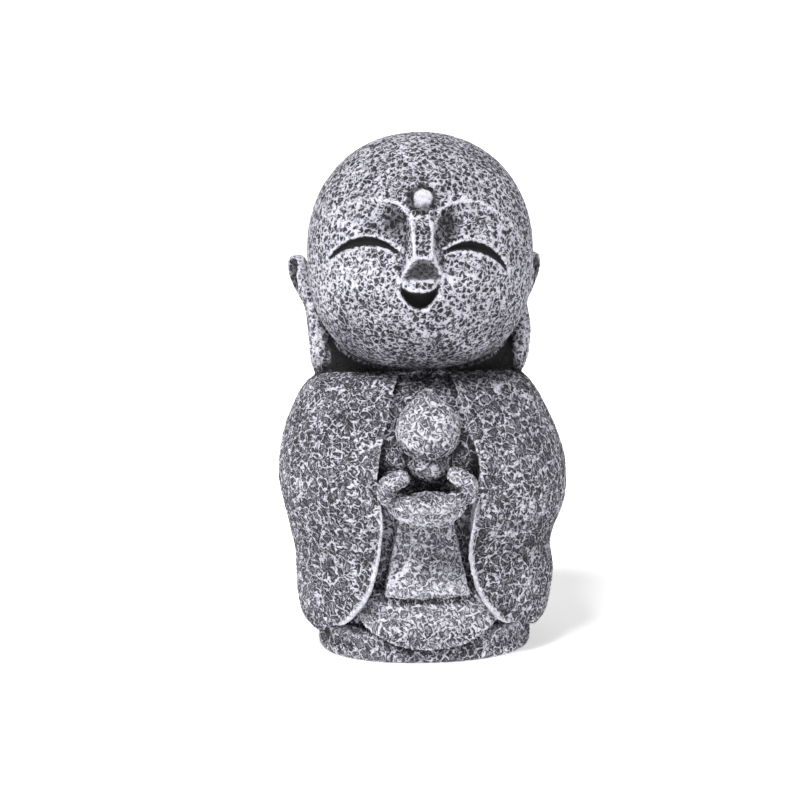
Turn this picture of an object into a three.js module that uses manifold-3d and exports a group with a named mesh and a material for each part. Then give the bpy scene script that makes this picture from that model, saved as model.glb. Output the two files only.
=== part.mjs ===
// A small cast-stone jizo: a laughing monk in a wide-sleeved robe who holds a wishing jewel, on a low oval plinth.
// Millimetres, +Z up. The figure faces -Y, and the origin is the centre of the plinth's underside.
import * as THREE from "three";
import { mergeVertices } from "three/addons/utils/BufferGeometryUtils.js";
import { ConvexGeometry } from "three/addons/geometries/ConvexGeometry.js";
import Module from "manifold-3d";

const wasm = await Module();
wasm.setup();

// Driving dimensions. The figure is a free form, carved in shares of its own height above the plinth's top.
const FIGURE_HEIGHT = 187;
const PLINTH_WIDTH = 83.4;
const PLINTH_DEPTH = 73;
const PLINTH_HEIGHT = 13;
const PLINTH_EDGE_RADIUS = 3;
const PLINTH_SQUARENESS = 2.2;

// The figure's heights are counted from the plinth's top, in hundredths of the figure's height.
const share = (hundredths) => (hundredths * FIGURE_HEIGHT) / 100;
const hundredthsOf = (length) => (100 * length) / FIGURE_HEIGHT;

// The robe's outer coat, from the neck down: half-width and height of its outline, seen from the front.
const COAT_TOP = 52.2;
const COAT_OUTLINE = [
  [0, COAT_TOP],
  [9.0, 52.0],
  [16.5, 51.4],
  [21.4, 50.0],
  [24.2, 47.4],
  [26.3, 43.6],
  [28.2, 39.0],
  [29.6, 34.0],
  [30.0, 29.0],
  [29.3, 23.6],
  [27.5, 17.6],
  [26.8, 13.8],
  [27.0, 9.6],
  [26.7, 5.4],
  [26.0, 1.4],
  [24.6, -1.2],
  [21.5, -2.2],
  [0, -2.3],
];
// Its depth as a share of its width: full at the sleeves, shallower over the rounded shoulders.
const SLEEVE_DEPTH_RATIO = 0.79;
const SHOULDER_DEPTH_RATIO = 0.65;
const SHOULDER_FROM = 34;
const SHOULDER_TO = 52;
const COAT_SQUARENESS = 2.45;
// The shoulders sit a little towards the viewer's left of the hem.
const SHOULDER_LEAN = -0.7;
const LEAN_FROM = 30;
const LEAN_TO = 44;
// The two sleeves swell out and in by turns, a broad soft fold at a time.
const FOLD_SWELL = 0.3;
const FOLD_LENGTH = 16;
const FOLD_CREST = 24;
const FOLD_TOP = 34;

// The coat's opening, from the collar down between the sleeves to the hem: how far its edge stands to the viewer's
// left and right of the middle, and the height.
const OPENING_EDGE = [
  [4.6, 4.6, 52.4],
  [6.4, 6.2, 48.5],
  [8.2, 8.0, 42.5],
  [9.7, 9.7, 35.8],
  [10.2, 10.0, 31.0],
  [9.6, 9.2, 25.7],
  [9.9, 8.6, 20.0],
  [10.7, 8.5, 14.7],
  [12.4, 10.1, 8.6],
  [15.4, 12.9, 3.9],
  [17.6, 15.2, 1.5],
  [20.2, 18.6, 0.0],
  [24.0, 23.0, -1.2],
  [29.0, 29.0, -2.6],
];
const OPENING_BACK = 9;

// The inner robe that shows in the opening, from the neck down: how far forward it stands, and the height.
const ROBE_FRONT = [
  [0, 51.6],
  [7.9, 51.2],
  [12.9, 49.4],
  [16.3, 46.5],
  [18.9, 42.7],
  [20.7, 38.4],
  [20.9, 34.6],
  [18.6, 31.0],
  [15.6, 26.5],
  [15.2, 20.0],
  [15.6, 12.0],
  [16.0, 5.0],
  [15.6, -1.5],
  [0, -1.5],
];
const ROBE_WIDTH_RATIO = 1.12;

// Two tiers hang down the front of the robe. Each is a bulging skirt, cut to its own outline seen from the front.
const APRON_FRONT = [
  [0, 30.0],
  [14.5, 29.0],
  [16.6, 24.0],
  [17.6, 15.0],
  [18.6, 6.2],
  [0, 5.2],
];
const APRON_CENTRE = -0.4;
const APRON_TOP_HALF_WIDTH = 4.9;
const APRON_HEM_HALF_WIDTH = 9.0;
const APRON_TOP = 27.0;
const APRON_HEM = 7.0;
const APRON_HEM_SAG = 0.9;
// The lower tier's hem stands a little proud of the plinth's front and hangs down over it.
const HEM_PROUD = 0.9;
const HEM_OVER_PLINTH = 0.55;
const HEM_REACH = hundredthsOf(PLINTH_DEPTH / 2 + HEM_PROUD);
const SKIRT_FRONT = [
  [0, 9.6],
  [14.0, 9.0],
  [17.6, 6.6],
  [19.3, 3.0],
  [HEM_REACH, -1.0],
  [HEM_REACH, -4.6],
  [0, -5.0],
];
const SKIRT_TOP = 8.2;
const SKIRT_HEM_SIDE = 2.2;
const SKIRT_HEM_ROUND = 0.65;
const SKIRT_HALF_WIDTH = 14.5;
const TIER_WIDTH_RATIO = 1.25;

// The head is an egg with full cheeks, tipped back so that it smiles up at whoever looks down on it.
const HEAD_HALF_WIDTH = share(23.3);
const HEAD_HALF_DEPTH = share(22.6);
const HEAD_HALF_HEIGHT = share(24.4);
const CROWN_FULLNESS = 2.12;
// The crown is the top of the figure. Tipped back, the egg reaches a little less high than its own half-height.
const CROWN_LOSS = 0.1;
const HEAD_CENTRE_HEIGHT = 100 + CROWN_LOSS - hundredthsOf(HEAD_HALF_HEIGHT);
// The collar laps up round the chin by this much. The robe, hands and jewel keep their share of the collar's height.
const CHIN_IN_COLLAR = 0.9;
const COLLAR_HEIGHT = HEAD_CENTRE_HEIGHT + CHIN_IN_COLLAR - hundredthsOf(HEAD_HALF_HEIGHT);
const level = (hundredths) => (share(hundredths) * COLLAR_HEIGHT) / COAT_TOP;
const HEAD_FORWARD = 1.2;
const HEAD_TILT_DEG = 10;
const HEAD_TURN_DEG = -2;
const JAW_FULLNESS = 2.45;
const FRONT_CROWDING = 0.4;

// The face is carved in hundredths of the head's height, from the head's centre, seen along its own axis.
const face = (hundredths) => (hundredths * HEAD_HALF_HEIGHT) / 50;
const SOCKET = { x: 17, z: 11.5, halfWidth: 16, halfHeight: 10, depth: 3.0 };
const CHEEK = { x: 22, z: -12, halfWidth: 17, halfHeight: 14, height: 1.6 };
const MUZZLE = { x: 0, z: -21, halfWidth: 15, halfHeight: 9, height: 1.2 };
const EYES = [
  { ends: [-38.6, -6.2, -9.6, -3.2], upper: 8.9, lower: 5.6, round: 0.6 },
  { ends: [7.6, -3.4, 34.2, -10.6], upper: 8.3, lower: 5.1, round: 0.6 },
];
const EYE_DEPTH = 2.4;
const MOUTH = { ends: [-9.7, -16.3, 6.5, -16.4], upper: -3.4, lower: -9.9, round: 0.72 };
const MOUTH_DEPTH = 5;
const NOSE = {
  x: -0.3,
  rootZ: 19,
  rootHalfWidth: 4.4,
  rootRise: 0.2,
  bridgeHalfWidth: 3.7,
  tipZ: -6.0,
  tipRise: 7.8,
  wingZ: -14.4,
  wingHalfWidth: 10.2,
  wingRise: 0.4,
  bedDepth: 12,
};
const URNA = { x: 0.4, z: 18.9, radius: 4.3, rise: 2.4 };

// The ears are long, with heavy lobes that come down onto the shoulders. Each point of their line has its distances
// to the viewer's left and right, back and up from the head's centre.
const EAR_LINE = [
  [25.5, 23.5, 9.0, -1.4],
  [24.9, 22.9, 8.0, -5.4],
  [22.4, 20.6, 6.4, -11.3],
  [21.1, 20.7, 4.6, -17.4],
  [20.9, 19.8, 2.8, -26.0],
];
const EAR_HALF_THICKNESS = [2.7, 2.6, 1.9, 2.5, 2.9];
const EAR_HALF_BREADTH = [3.4, 4.6, 3.8, 3.3, 3.4];
const CONCHA = { along: 0.27, out: 2.6, halfHeight: 4.6, halfBreadth: 2.9, halfDepth: 1.7, turnDeg: 32 };
const NAPE = { halfWidth: 19.8, halfDepth: 11.5, halfHeight: 10, forward: -3.6, height: 53 };

// The wishing jewel is a ball drawn up to a point, held between the thumbs.
const JEWEL_RADIUS = share(6.7);
const JEWEL_HEIGHT = 41.7;
const JEWEL_FORWARD = 20.2;
const JEWEL_POINT_RISE = 2.4;
const JEWEL_POINT_SHARPNESS = 36;
const JEWEL_TOP_CROWDING = 1.35;
const JEWEL_LEAN_DEG = 12;

// Hands: two stacked rows of fingers make a bowl, and the thumbs rise from it to the jewel.
const HANDS_CENTRE = -0.5;
const FINGER_ROWS = [
  { halfSpan: 8.0, height: 30.4, sag: 3.8, reach: 27.2, thickness: 1.85 },
  { halfSpan: 7.5, height: 28.4, sag: 3.5, reach: 26.2, thickness: 1.5 },
];
const FINGER_BACK = 20.0;
const FINGER_TURN_DEG = 82;
const FINGER_STEPS = 6;
const PALM = { halfWidth: 7.6, halfDepth: 5.4, halfHeight: 3.0, forward: 21.0, height: 26.6 };
const THUMBS = [
  { side: -1, tip: [3.5, 25.6, 33.7] },
  { side: 1, tip: [3.8, 25.4, 34.4] },
];
const THUMB_ROOT = [7.8, 22.4, 27.6];
const THUMB_BEND = [7.9, 25.4, 31.6];
const THUMB_THICKNESS = 2.1;
const THUMB_TAPER = 0.2;

// How blunt a limb's two ends are.
const END_BLUNTNESS = 4;

// How finely each form is cut into facets.
const COAT_GRID = [46, 24];
const ROBE_GRID = [32, 20];
const TIER_GRID = [40, 12];
const HEAD_GRID = [42, 27];
const PLINTH_SEGMENTS = 46;
const EAR_GRID = [12, 14];
const NAPE_GRID = [18, 9];
const JEWEL_GRID = [18, 16];
const FINGER_GRID = [8, 11];
const CURVE_STEPS = 8;
const OPENING_STEPS = 24;
const EDGE_STEPS = 3;
// Vertices closer than this are one vertex.
const WELD = 1e-3;

// A closed three.js geometry as a solid that can be joined and cut.
function solid(geometry) {
  const bare = geometry.clone();
  bare.deleteAttribute("normal");
  bare.deleteAttribute("uv");
  const merged = mergeVertices(bare, WELD);
  const vertProperties = Float32Array.from(merged.attributes.position.array);
  const triVerts = Uint32Array.from(merged.index.array);
  return new wasm.Manifold(new wasm.Mesh({ numProp: 3, vertProperties, triVerts }));
}

// A solid as a three.js geometry with flat facets.
function geometryOf(made) {
  const mesh = made.getMesh();
  const geometry = new THREE.BufferGeometry();
  geometry.setAttribute("position", new THREE.BufferAttribute(mesh.vertProperties, 3));
  geometry.setIndex(new THREE.BufferAttribute(mesh.triVerts, 1));
  return geometry;
}

// A closed skin over a sphere's grid. pointAt(u, v) gives the point: u is the share of a turn, from the front round
// by the figure's left hand, and v runs from the top, 0, to the bottom, 1.
function skin([segments, rings], pointAt) {
  const geometry = new THREE.SphereGeometry(1, segments, rings);
  const { position, uv } = geometry.attributes;
  for (let i = 0; i < position.count; i++) {
    const point = pointAt(uv.getX(i), 1 - uv.getY(i));
    position.setXYZ(i, point.x, point.y, point.z);
  }
  return solid(geometry);
}

// A smooth outline through [across, up] points in hundredths, from the top down.
function outline(points) {
  return new THREE.SplineCurve(points.map(([a, z]) => new THREE.Vector2(share(a), level(z))));
}

// A smooth step from 0 to 1 between two heights, given in hundredths.
function rise(height, from, to) {
  return THREE.MathUtils.smoothstep(height, level(from), level(to));
}

// How far a rounded oval of squareness n reaches at an angle, as a share of its half-width.
function ovalReach(angle, squareness) {
  const across = Math.abs(Math.sin(angle)) ** squareness;
  const along = Math.abs(Math.cos(angle)) ** squareness;
  return (across + along) ** (-1 / squareness);
}

// A garment: an outline carried round the figure on an oval plan.
function garment(points, grid, { widthRatio = 1, depthRatio = () => 1, swell = () => 0, lean = () => 0 }) {
  const curve = outline(points);
  return skin(grid, (u, v) => {
    const { x: radius, y: height } = curve.getPoint(v);
    const angle = 2 * Math.PI * u;
    const reach = (radius + swell(angle, height)) * ovalReach(angle, COAT_SQUARENESS);
    return new THREE.Vector3(
      reach * widthRatio * Math.sin(angle) + lean(height),
      -reach * depthRatio(height) * Math.cos(angle),
      PLINTH_HEIGHT + height,
    );
  });
}

// Broad waves on the sides of the sleeves, fading out at the elbow and the hem.
function sleeveFolds(angle, height) {
  const up = height / level(FOLD_TOP);
  if (up < 0 || up > 1) return 0;
  const wave = Math.cos((2 * Math.PI * (height - level(FOLD_CREST))) / level(FOLD_LENGTH));
  return share(FOLD_SWELL) * Math.sin(Math.PI * up) * Math.sin(angle) * wave;
}

// A prism whose outline is seen from the front. It runs forward from its back, at y = 0, for the given depth.
function frontPrism(shape, depth) {
  const geometry = new THREE.ExtrudeGeometry(shape, { depth, curveSegments: CURVE_STEPS, bevelEnabled: false });
  geometry.rotateX(Math.PI / 2);
  return solid(geometry);
}

// A prism that starts on the figure's middle plane, moved forward by `back`, and is deeper than any garment.
function garmentPrism(shape, back) {
  return frontPrism(shape, FIGURE_HEIGHT).translate([0, -back, PLINTH_HEIGHT]);
}

// A rounded limb along a curve. halfAt(s) gives its half-thickness along `side` and across it.
function limb(curve, side, halfAt, grid) {
  return skin(grid, (u, v) => {
    const s = (1 - Math.cos(Math.PI * v)) / 2;
    const along = curve.getTangent(s);
    const first = side.clone().addScaledVector(along, -side.dot(along)).normalize();
    const second = new THREE.Vector3().crossVectors(first, along);
    const round = Math.sqrt(Math.max(0, 1 - Math.abs(2 * s - 1) ** END_BLUNTNESS));
    const [a, b] = halfAt(s);
    const angle = 2 * Math.PI * u;
    return curve
      .getPoint(s)
      .addScaledVector(first, a * round * Math.cos(angle))
      .addScaledVector(second, b * round * Math.sin(angle));
  });
}

// A value read from a short list of evenly spaced ones, at the share s of the way along it.
function between(values, s) {
  const at = s * (values.length - 1);
  const low = Math.min(Math.floor(at), values.length - 2);
  return THREE.MathUtils.lerp(values[low], values[low + 1], at - low);
}

// The plinth: an oval slab with rounded edges.
function plinth() {
  const half = PLINTH_WIDTH / 2;
  const profile = new THREE.Path();
  profile.moveTo(0, 0);
  profile.lineTo(half - PLINTH_EDGE_RADIUS, 0);
  profile.quadraticCurveTo(half, 0, half, PLINTH_EDGE_RADIUS);
  profile.lineTo(half, PLINTH_HEIGHT - PLINTH_EDGE_RADIUS);
  profile.quadraticCurveTo(half, PLINTH_HEIGHT, half - PLINTH_EDGE_RADIUS, PLINTH_HEIGHT);
  profile.lineTo(0, PLINTH_HEIGHT);
  const geometry = new THREE.LatheGeometry(profile.getPoints(EDGE_STEPS), PLINTH_SEGMENTS);
  geometry.rotateX(Math.PI / 2);
  const { position } = geometry.attributes;
  for (let i = 0; i < position.count; i++) {
    const angle = Math.atan2(position.getX(i), -position.getY(i));
    const reach = Math.hypot(position.getX(i), position.getY(i)) * ovalReach(angle, PLINTH_SQUARENESS);
    position.setX(i, reach * Math.sin(angle));
    position.setY(i, (-reach * Math.cos(angle) * PLINTH_DEPTH) / PLINTH_WIDTH);
  }
  return solid(geometry);
}

// The coat with its sleeves, open down the front.
function coat() {
  const whole = garment(COAT_OUTLINE, COAT_GRID, {
    depthRatio: (height) =>
      THREE.MathUtils.lerp(SLEEVE_DEPTH_RATIO, SHOULDER_DEPTH_RATIO, rise(height, SHOULDER_FROM, SHOULDER_TO)),
    swell: sleeveFolds,
    lean: (height) => share(SHOULDER_LEAN) * rise(height, LEAN_FROM, LEAN_TO),
  });
  const left = outline(OPENING_EDGE.map(([reach, , height]) => [-reach, height]));
  const right = outline(OPENING_EDGE.map(([, reach, height]) => [reach, height]));
  const shape = new THREE.Shape([...left.getPoints(OPENING_STEPS), ...right.getPoints(OPENING_STEPS).reverse()]);
  return whole.subtract(garmentPrism(shape, share(OPENING_BACK)));
}

// The inner robe, the same shape of garment, which fills the opening.
function innerRobe() {
  return garment(ROBE_FRONT, ROBE_GRID, { widthRatio: ROBE_WIDTH_RATIO });
}

// The upper tier: a panel that widens downward to a hem with a slight sag.
function apron() {
  const cloth = garment(APRON_FRONT, TIER_GRID, { widthRatio: TIER_WIDTH_RATIO });
  const across = (x) => share(APRON_CENTRE + x);
  const shape = new THREE.Shape();
  shape.moveTo(across(-APRON_TOP_HALF_WIDTH), level(APRON_TOP));
  shape.lineTo(across(-APRON_HEM_HALF_WIDTH), level(APRON_HEM));
  shape.quadraticCurveTo(
    across(0),
    level(APRON_HEM - 2 * APRON_HEM_SAG),
    across(APRON_HEM_HALF_WIDTH),
    level(APRON_HEM),
  );
  shape.lineTo(across(APRON_TOP_HALF_WIDTH), level(APRON_TOP));
  return cloth.intersect(garmentPrism(shape, 0));
}

// The lower tier: a skirt whose hem is an arc, low in the middle, over the plinth's front.
function skirt() {
  const cloth = garment(SKIRT_FRONT, TIER_GRID, { widthRatio: TIER_WIDTH_RATIO });
  const side = share(SKIRT_HALF_WIDTH);
  const sideHem = level(SKIRT_HEM_SIDE);
  // The hem's curve passes the middle of its span a quarter of the way from its handles to its ends.
  const handle = (-4 * HEM_OVER_PLINTH * PLINTH_HEIGHT - sideHem) / 3;
  const shape = new THREE.Shape();
  shape.moveTo(-side, level(SKIRT_TOP));
  shape.lineTo(-side, sideHem);
  shape.bezierCurveTo(-side * SKIRT_HEM_ROUND, handle, side * SKIRT_HEM_ROUND, handle, side, sideHem);
  shape.lineTo(side, level(SKIRT_TOP));
  return cloth.intersect(garmentPrism(shape, 0));
}

// A soft swelling of the face: 1 at its centre, 0 past its half-width and half-height.
function swelling(form, x, z) {
  const across = (Math.abs(x) - face(form.x)) / face(form.halfWidth);
  const up = (z - face(form.z)) / face(form.halfHeight);
  return Math.max(0, 1 - across * across - up * up) ** 2;
}

// The head's skin in its own frame, with its centre at the origin and its face towards -Y.
function headPoint(u, v) {
  const angle = 2 * Math.PI * u - FRONT_CROWDING * Math.sin(2 * Math.PI * u);
  const polar = Math.PI * v;
  const direction = new THREE.Vector3(
    Math.sin(polar) * Math.sin(angle),
    -Math.sin(polar) * Math.cos(angle),
    Math.cos(polar),
  );
  const round = Math.hypot(direction.x / HEAD_HALF_WIDTH, direction.y / HEAD_HALF_DEPTH);
  const high = Math.abs(direction.z) / HEAD_HALF_HEIGHT;
  const fullness = direction.z > 0 ? CROWN_FULLNESS : JAW_FULLNESS;
  const point = direction.multiplyScalar((round ** fullness + high ** fullness) ** (-1 / fullness));
  const forward = Math.max(0, -point.y / HEAD_HALF_DEPTH);
  const carved =
    face(CHEEK.height) * swelling(CHEEK, point.x, point.z) +
    face(MUZZLE.height) * swelling(MUZZLE, point.x, point.z) -
    face(SOCKET.depth) * swelling(SOCKET, point.x, point.z);
  point.y -= carved * Math.sqrt(forward);
  return point;
}

// A crescent between two arcs through the same two ends, each arc's height counted from the line between them.
function crescent({ ends, upper, lower, round }) {
  const [x0, z0, x1, z1] = ends.map(face);
  const first = new THREE.Vector2(x0, z0);
  const last = new THREE.Vector2(x1, z1);
  const middle = first.clone().lerp(last, 0.5);
  const up = new THREE.Vector2(z0 - z1, x1 - x0).normalize();
  // A handle stands over its end, moved out from the middle by the share `round`, at four thirds of the arc's height.
  const handle = (end, height) => middle.clone().lerp(end, round).addScaledVector(up, (4 / 3) * face(height));
  const over = [handle(first, upper), handle(last, upper)];
  const under = [handle(last, lower), handle(first, lower)];
  const shape = new THREE.Shape();
  shape.moveTo(x0, z0);
  shape.bezierCurveTo(over[0].x, over[0].y, over[1].x, over[1].y, x1, z1);
  shape.bezierCurveTo(under[0].x, under[0].y, under[1].x, under[1].y, x0, z0);
  return frontPrism(shape, 2 * HEAD_HALF_DEPTH);
}

// The nose is a wedge: a narrow flat bridge down to the tip, whose underside slopes back to two wide wings.
function nose(skinY) {
  const at = (x, rise, z) => new THREE.Vector3(face(NOSE.x + x), skinY(face(x), face(z)) - face(rise), face(z));
  const corners = [];
  for (const side of [-1, 1]) {
    corners.push(at(side * NOSE.rootHalfWidth, NOSE.rootRise, NOSE.rootZ));
    corners.push(at(side * NOSE.bridgeHalfWidth, NOSE.tipRise, NOSE.tipZ));
    corners.push(at(side * NOSE.wingHalfWidth, NOSE.wingRise, NOSE.wingZ));
    corners.push(at(side * NOSE.rootHalfWidth, -NOSE.bedDepth, NOSE.rootZ));
    corners.push(at(side * NOSE.wingHalfWidth, -NOSE.bedDepth, NOSE.wingZ));
  }
  return solid(new ConvexGeometry(corners));
}

// The head without ears: the egg, its nose and brow mark, less the eye slits and the open mouth.
function head() {
  const egg = skin(HEAD_GRID, headPoint);
  const eggY = (x, z) =>
    -HEAD_HALF_DEPTH * Math.sqrt(1 - (x / HEAD_HALF_WIDTH) ** 2 - (z / HEAD_HALF_HEIGHT) ** 2);
  let made = egg.add(nose(eggY));
  const inset = (depth) => solid(new THREE.SphereGeometry(1, HEAD_GRID[0], HEAD_GRID[1])).scale([
    HEAD_HALF_WIDTH - face(depth),
    HEAD_HALF_DEPTH - face(depth),
    HEAD_HALF_HEIGHT - face(depth),
  ]);
  for (const eye of EYES) {
    made = made.subtract(crescent(eye).subtract(inset(EYE_DEPTH)));
  }
  made = made.subtract(crescent(MOUTH).subtract(inset(MOUTH_DEPTH)));
  const mark = new THREE.SphereGeometry(1, JEWEL_GRID[0], JEWEL_GRID[1]);
  mark.scale(face(URNA.radius), face(URNA.rise), face(URNA.radius));
  mark.translate(face(URNA.x), eggY(face(URNA.x), face(URNA.z)), face(URNA.z));
  return made.add(solid(mark));
}

// One ear: a curved slab that flares at the top and thickens to its lobe, with a hollow in its upper half.
function ear(side) {
  const curve = new THREE.CatmullRomCurve3(
    EAR_LINE.map(([left, right, y, z]) => new THREE.Vector3(share(side < 0 ? -left : right), share(y), share(z))),
  );
  const halfAt = (s) => [share(between(EAR_HALF_BREADTH, s)), share(between(EAR_HALF_THICKNESS, s))];
  const shell = limb(curve, new THREE.Vector3(0, -1, 0), halfAt, EAR_GRID);
  const bowl = new THREE.SphereGeometry(1, EAR_GRID[0], EAR_GRID[1]);
  bowl.scale(share(CONCHA.halfDepth), share(CONCHA.halfBreadth), share(CONCHA.halfHeight));
  bowl.rotateZ(THREE.MathUtils.degToRad(-side * CONCHA.turnDeg));
  const at = curve.getPoint(CONCHA.along);
  const out = THREE.MathUtils.degToRad(CONCHA.turnDeg);
  const reach = share(CONCHA.out);
  bowl.translate(at.x + side * reach * Math.cos(out), at.y - reach * Math.sin(out), at.z);
  return shell.subtract(solid(bowl));
}

// The head and ears, tipped back, turned and set on the shoulders.
function headOnShoulders() {
  const tilt = THREE.MathUtils.degToRad(HEAD_TILT_DEG);
  const turn = THREE.MathUtils.degToRad(HEAD_TURN_DEG);
  const tipped = new THREE.Matrix4().makeRotationZ(turn);
  tipped.multiply(new THREE.Matrix4().makeRotationX(-tilt));
  const centre = [0, -share(HEAD_FORWARD), PLINTH_HEIGHT + share(HEAD_CENTRE_HEIGHT)];
  const ears = ear(-1).add(ear(1)).rotate([0, 0, HEAD_TURN_DEG]);
  return head().transform(tipped.elements).add(ears).translate(centre);
}

// The nape fills the space behind the jaw and the lobes, and carries the head.
function nape() {
  const geometry = new THREE.SphereGeometry(1, NAPE_GRID[0], NAPE_GRID[1]);
  geometry.scale(share(NAPE.halfWidth), share(NAPE.halfDepth), share(NAPE.halfHeight));
  geometry.translate(0, -share(NAPE.forward), PLINTH_HEIGHT + level(NAPE.height));
  return solid(geometry);
}

// The jewel: a ball whose top is drawn up to a point, leaning back on the chest.
function jewel() {
  const made = skin(JEWEL_GRID, (u, v) => {
    const angle = 2 * Math.PI * u;
    const polar = Math.PI * v ** JEWEL_TOP_CROWDING;
    const drawn = share(JEWEL_POINT_RISE) * Math.max(0, Math.cos(polar)) ** JEWEL_POINT_SHARPNESS;
    return new THREE.Vector3(
      JEWEL_RADIUS * Math.sin(polar) * Math.sin(angle),
      -JEWEL_RADIUS * Math.sin(polar) * Math.cos(angle),
      JEWEL_RADIUS * Math.cos(polar) + drawn,
    );
  });
  return made
    .rotate([-JEWEL_LEAN_DEG, 0, 0])
    .translate([0, -share(JEWEL_FORWARD), PLINTH_HEIGHT + level(JEWEL_HEIGHT)]);
}

// A point of the hands, from hundredths across, forward and up.
function handPoint(x, forward, height) {
  return new THREE.Vector3(share(HANDS_CENTRE + x), -share(forward), PLINTH_HEIGHT + level(height));
}

// One row of fingers: a rod that runs from one sleeve round the front to the other, sagging in the middle.
function fingerRow({ halfSpan, height, sag, reach, thickness }) {
  const points = [];
  for (let i = 0; i <= FINGER_STEPS; i++) {
    const angle = THREE.MathUtils.degToRad(FINGER_TURN_DEG * ((2 * i) / FINGER_STEPS - 1));
    const forward = THREE.MathUtils.lerp(FINGER_BACK, reach, Math.cos(angle));
    points.push(handPoint(halfSpan * Math.sin(angle), forward, height - sag * Math.cos(angle)));
  }
  const curve = new THREE.CatmullRomCurve3(points);
  return limb(curve, new THREE.Vector3(0, 0, 1), () => [share(thickness), share(thickness)], FINGER_GRID);
}

// A thumb, which rises from the end of the fingers and bends in over them.
function thumb({ side, tip }) {
  const points = [THUMB_ROOT, THUMB_BEND, tip].map(([x, y, z]) => handPoint(side * x, y, z));
  const thickness = (s) => share(THUMB_THICKNESS * (1 - THUMB_TAPER * s));
  const halfAt = (s) => [thickness(s), thickness(s)];
  return limb(new THREE.CatmullRomCurve3(points), new THREE.Vector3(1, 0, 0), halfAt, FINGER_GRID);
}

// Both hands: the palms, the rows of fingers and the thumbs.
function hands() {
  const palm = new THREE.SphereGeometry(1, NAPE_GRID[0], NAPE_GRID[1]);
  palm.scale(share(PALM.halfWidth), share(PALM.halfDepth), share(PALM.halfHeight));
  const at = handPoint(0, PALM.forward, PALM.height);
  palm.translate(at.x, at.y, at.z);
  return wasm.Manifold.union([solid(palm), ...FINGER_ROWS.map(fingerRow), ...THUMBS.map(thumb)]);
}

// The whole statue is one casting.
const casting = wasm.Manifold.union([
  plinth(),
  coat(),
  innerRobe(),
  apron(),
  skirt(),
  nape(),
  headOnShoulders(),
  jewel(),
  hands(),
]);

const castStone = new THREE.MeshStandardMaterial({ color: 0x9a9aa2, roughness: 0.85, metalness: 0 });
const statue = new THREE.Mesh(geometryOf(casting), castStone);
statue.name = "jizo_statue";

const root = new THREE.Group();
root.add(statue);
export default root;
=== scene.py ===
# %% [markdown]
# # A small stone jizo
# The object is a casting about 20 cm high: stone powder pressed into a mould, washed with dark grey and then
# brushed with pale paint, so that every ridge of its worked skin is light and every pit stays dark. This lesson
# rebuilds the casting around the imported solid. Its forms are grids of points worked out with numpy, fused into
# one skin. The same pattern then cuts the skin and paints it.

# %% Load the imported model
import math

import bpy
import numpy as np
from mathutils import Matrix, Vector


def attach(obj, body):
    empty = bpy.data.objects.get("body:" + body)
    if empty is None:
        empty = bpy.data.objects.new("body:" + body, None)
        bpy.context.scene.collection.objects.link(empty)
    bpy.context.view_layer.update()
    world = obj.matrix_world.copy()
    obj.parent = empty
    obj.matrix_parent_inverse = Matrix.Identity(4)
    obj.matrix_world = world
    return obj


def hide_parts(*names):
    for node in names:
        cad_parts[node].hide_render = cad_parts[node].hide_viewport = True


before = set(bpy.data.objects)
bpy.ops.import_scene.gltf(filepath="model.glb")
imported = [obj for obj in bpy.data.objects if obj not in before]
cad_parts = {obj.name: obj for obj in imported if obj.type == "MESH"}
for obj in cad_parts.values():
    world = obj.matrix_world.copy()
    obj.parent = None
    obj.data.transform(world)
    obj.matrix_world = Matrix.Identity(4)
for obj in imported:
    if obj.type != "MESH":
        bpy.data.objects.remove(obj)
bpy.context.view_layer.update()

MM = 0.001
MM_PER_METRE = 1000


# %% [markdown]
# ## The camera
# The photograph was taken from a little above and a little to the viewer's left of the middle, with a long lens,
# so the statue's two sides stay nearly parallel. The statue fills two thirds of the square frame. We aim at its
# middle height and choose the lens so that one millimetre there covers 2.58 of the picture's 800 pixels. A small
# shift of the lens puts the statue 21.5 pixels right of the middle.

# %% Camera
PICTURE_PIXELS = 800
PIXELS_PER_MM = 2.58
PIXELS_RIGHT = 21.5
CAMERA_DISTANCE = 1200
CAMERA_AZIMUTH = math.radians(-3.5)
CAMERA_ELEVATION = math.radians(10)
CAMERA_ROLL = math.radians(-0.7)
CAMERA_AIM = Vector((0, 0, 96)) * MM
SENSOR_WIDTH = 36

away = Vector((
    math.sin(CAMERA_AZIMUTH) * math.cos(CAMERA_ELEVATION),
    -math.cos(CAMERA_AZIMUTH) * math.cos(CAMERA_ELEVATION),
    math.sin(CAMERA_ELEVATION),
))
camera = bpy.data.objects.new("camera", bpy.data.cameras.new("camera"))
bpy.context.scene.collection.objects.link(camera)
camera.data.sensor_width = SENSOR_WIDTH
camera.data.lens = PIXELS_PER_MM * CAMERA_DISTANCE / PICTURE_PIXELS * SENSOR_WIDTH
camera.data.shift_x = -PIXELS_RIGHT / PICTURE_PIXELS
facing = (-away).to_track_quat("-Z", "Y").to_matrix().to_4x4()
place = Matrix.Translation(CAMERA_AIM + away * CAMERA_DISTANCE * MM)
camera.matrix_world = place @ facing @ Matrix.Rotation(CAMERA_ROLL, 4, "Z")
bpy.context.scene.camera = camera
print("camera lens", round(camera.data.lens, 1), "mm")

# %% [markdown]
# ## Curves and grids
# Nearly every form here is one of two kinds: an outline carried round an oval, or a rod carried along a line. Both
# are grids of points with a row for each height and a column for each direction. We keep all lengths in
# millimetres, and count heights from the plinth's top in hundredths of the figure's height, the way a carver
# shares out a block.

# %% Shares of the figure's height
FIGURE_HEIGHT = 187.0
PLINTH_HEIGHT = 13.0
HEAD_HALF_HEIGHT = 0.244 * FIGURE_HEIGHT


def share(hundredths):
    """Millimetres from hundredths of the figure's height."""
    return np.asarray(hundredths, float) * FIGURE_HEIGHT / 100


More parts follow.
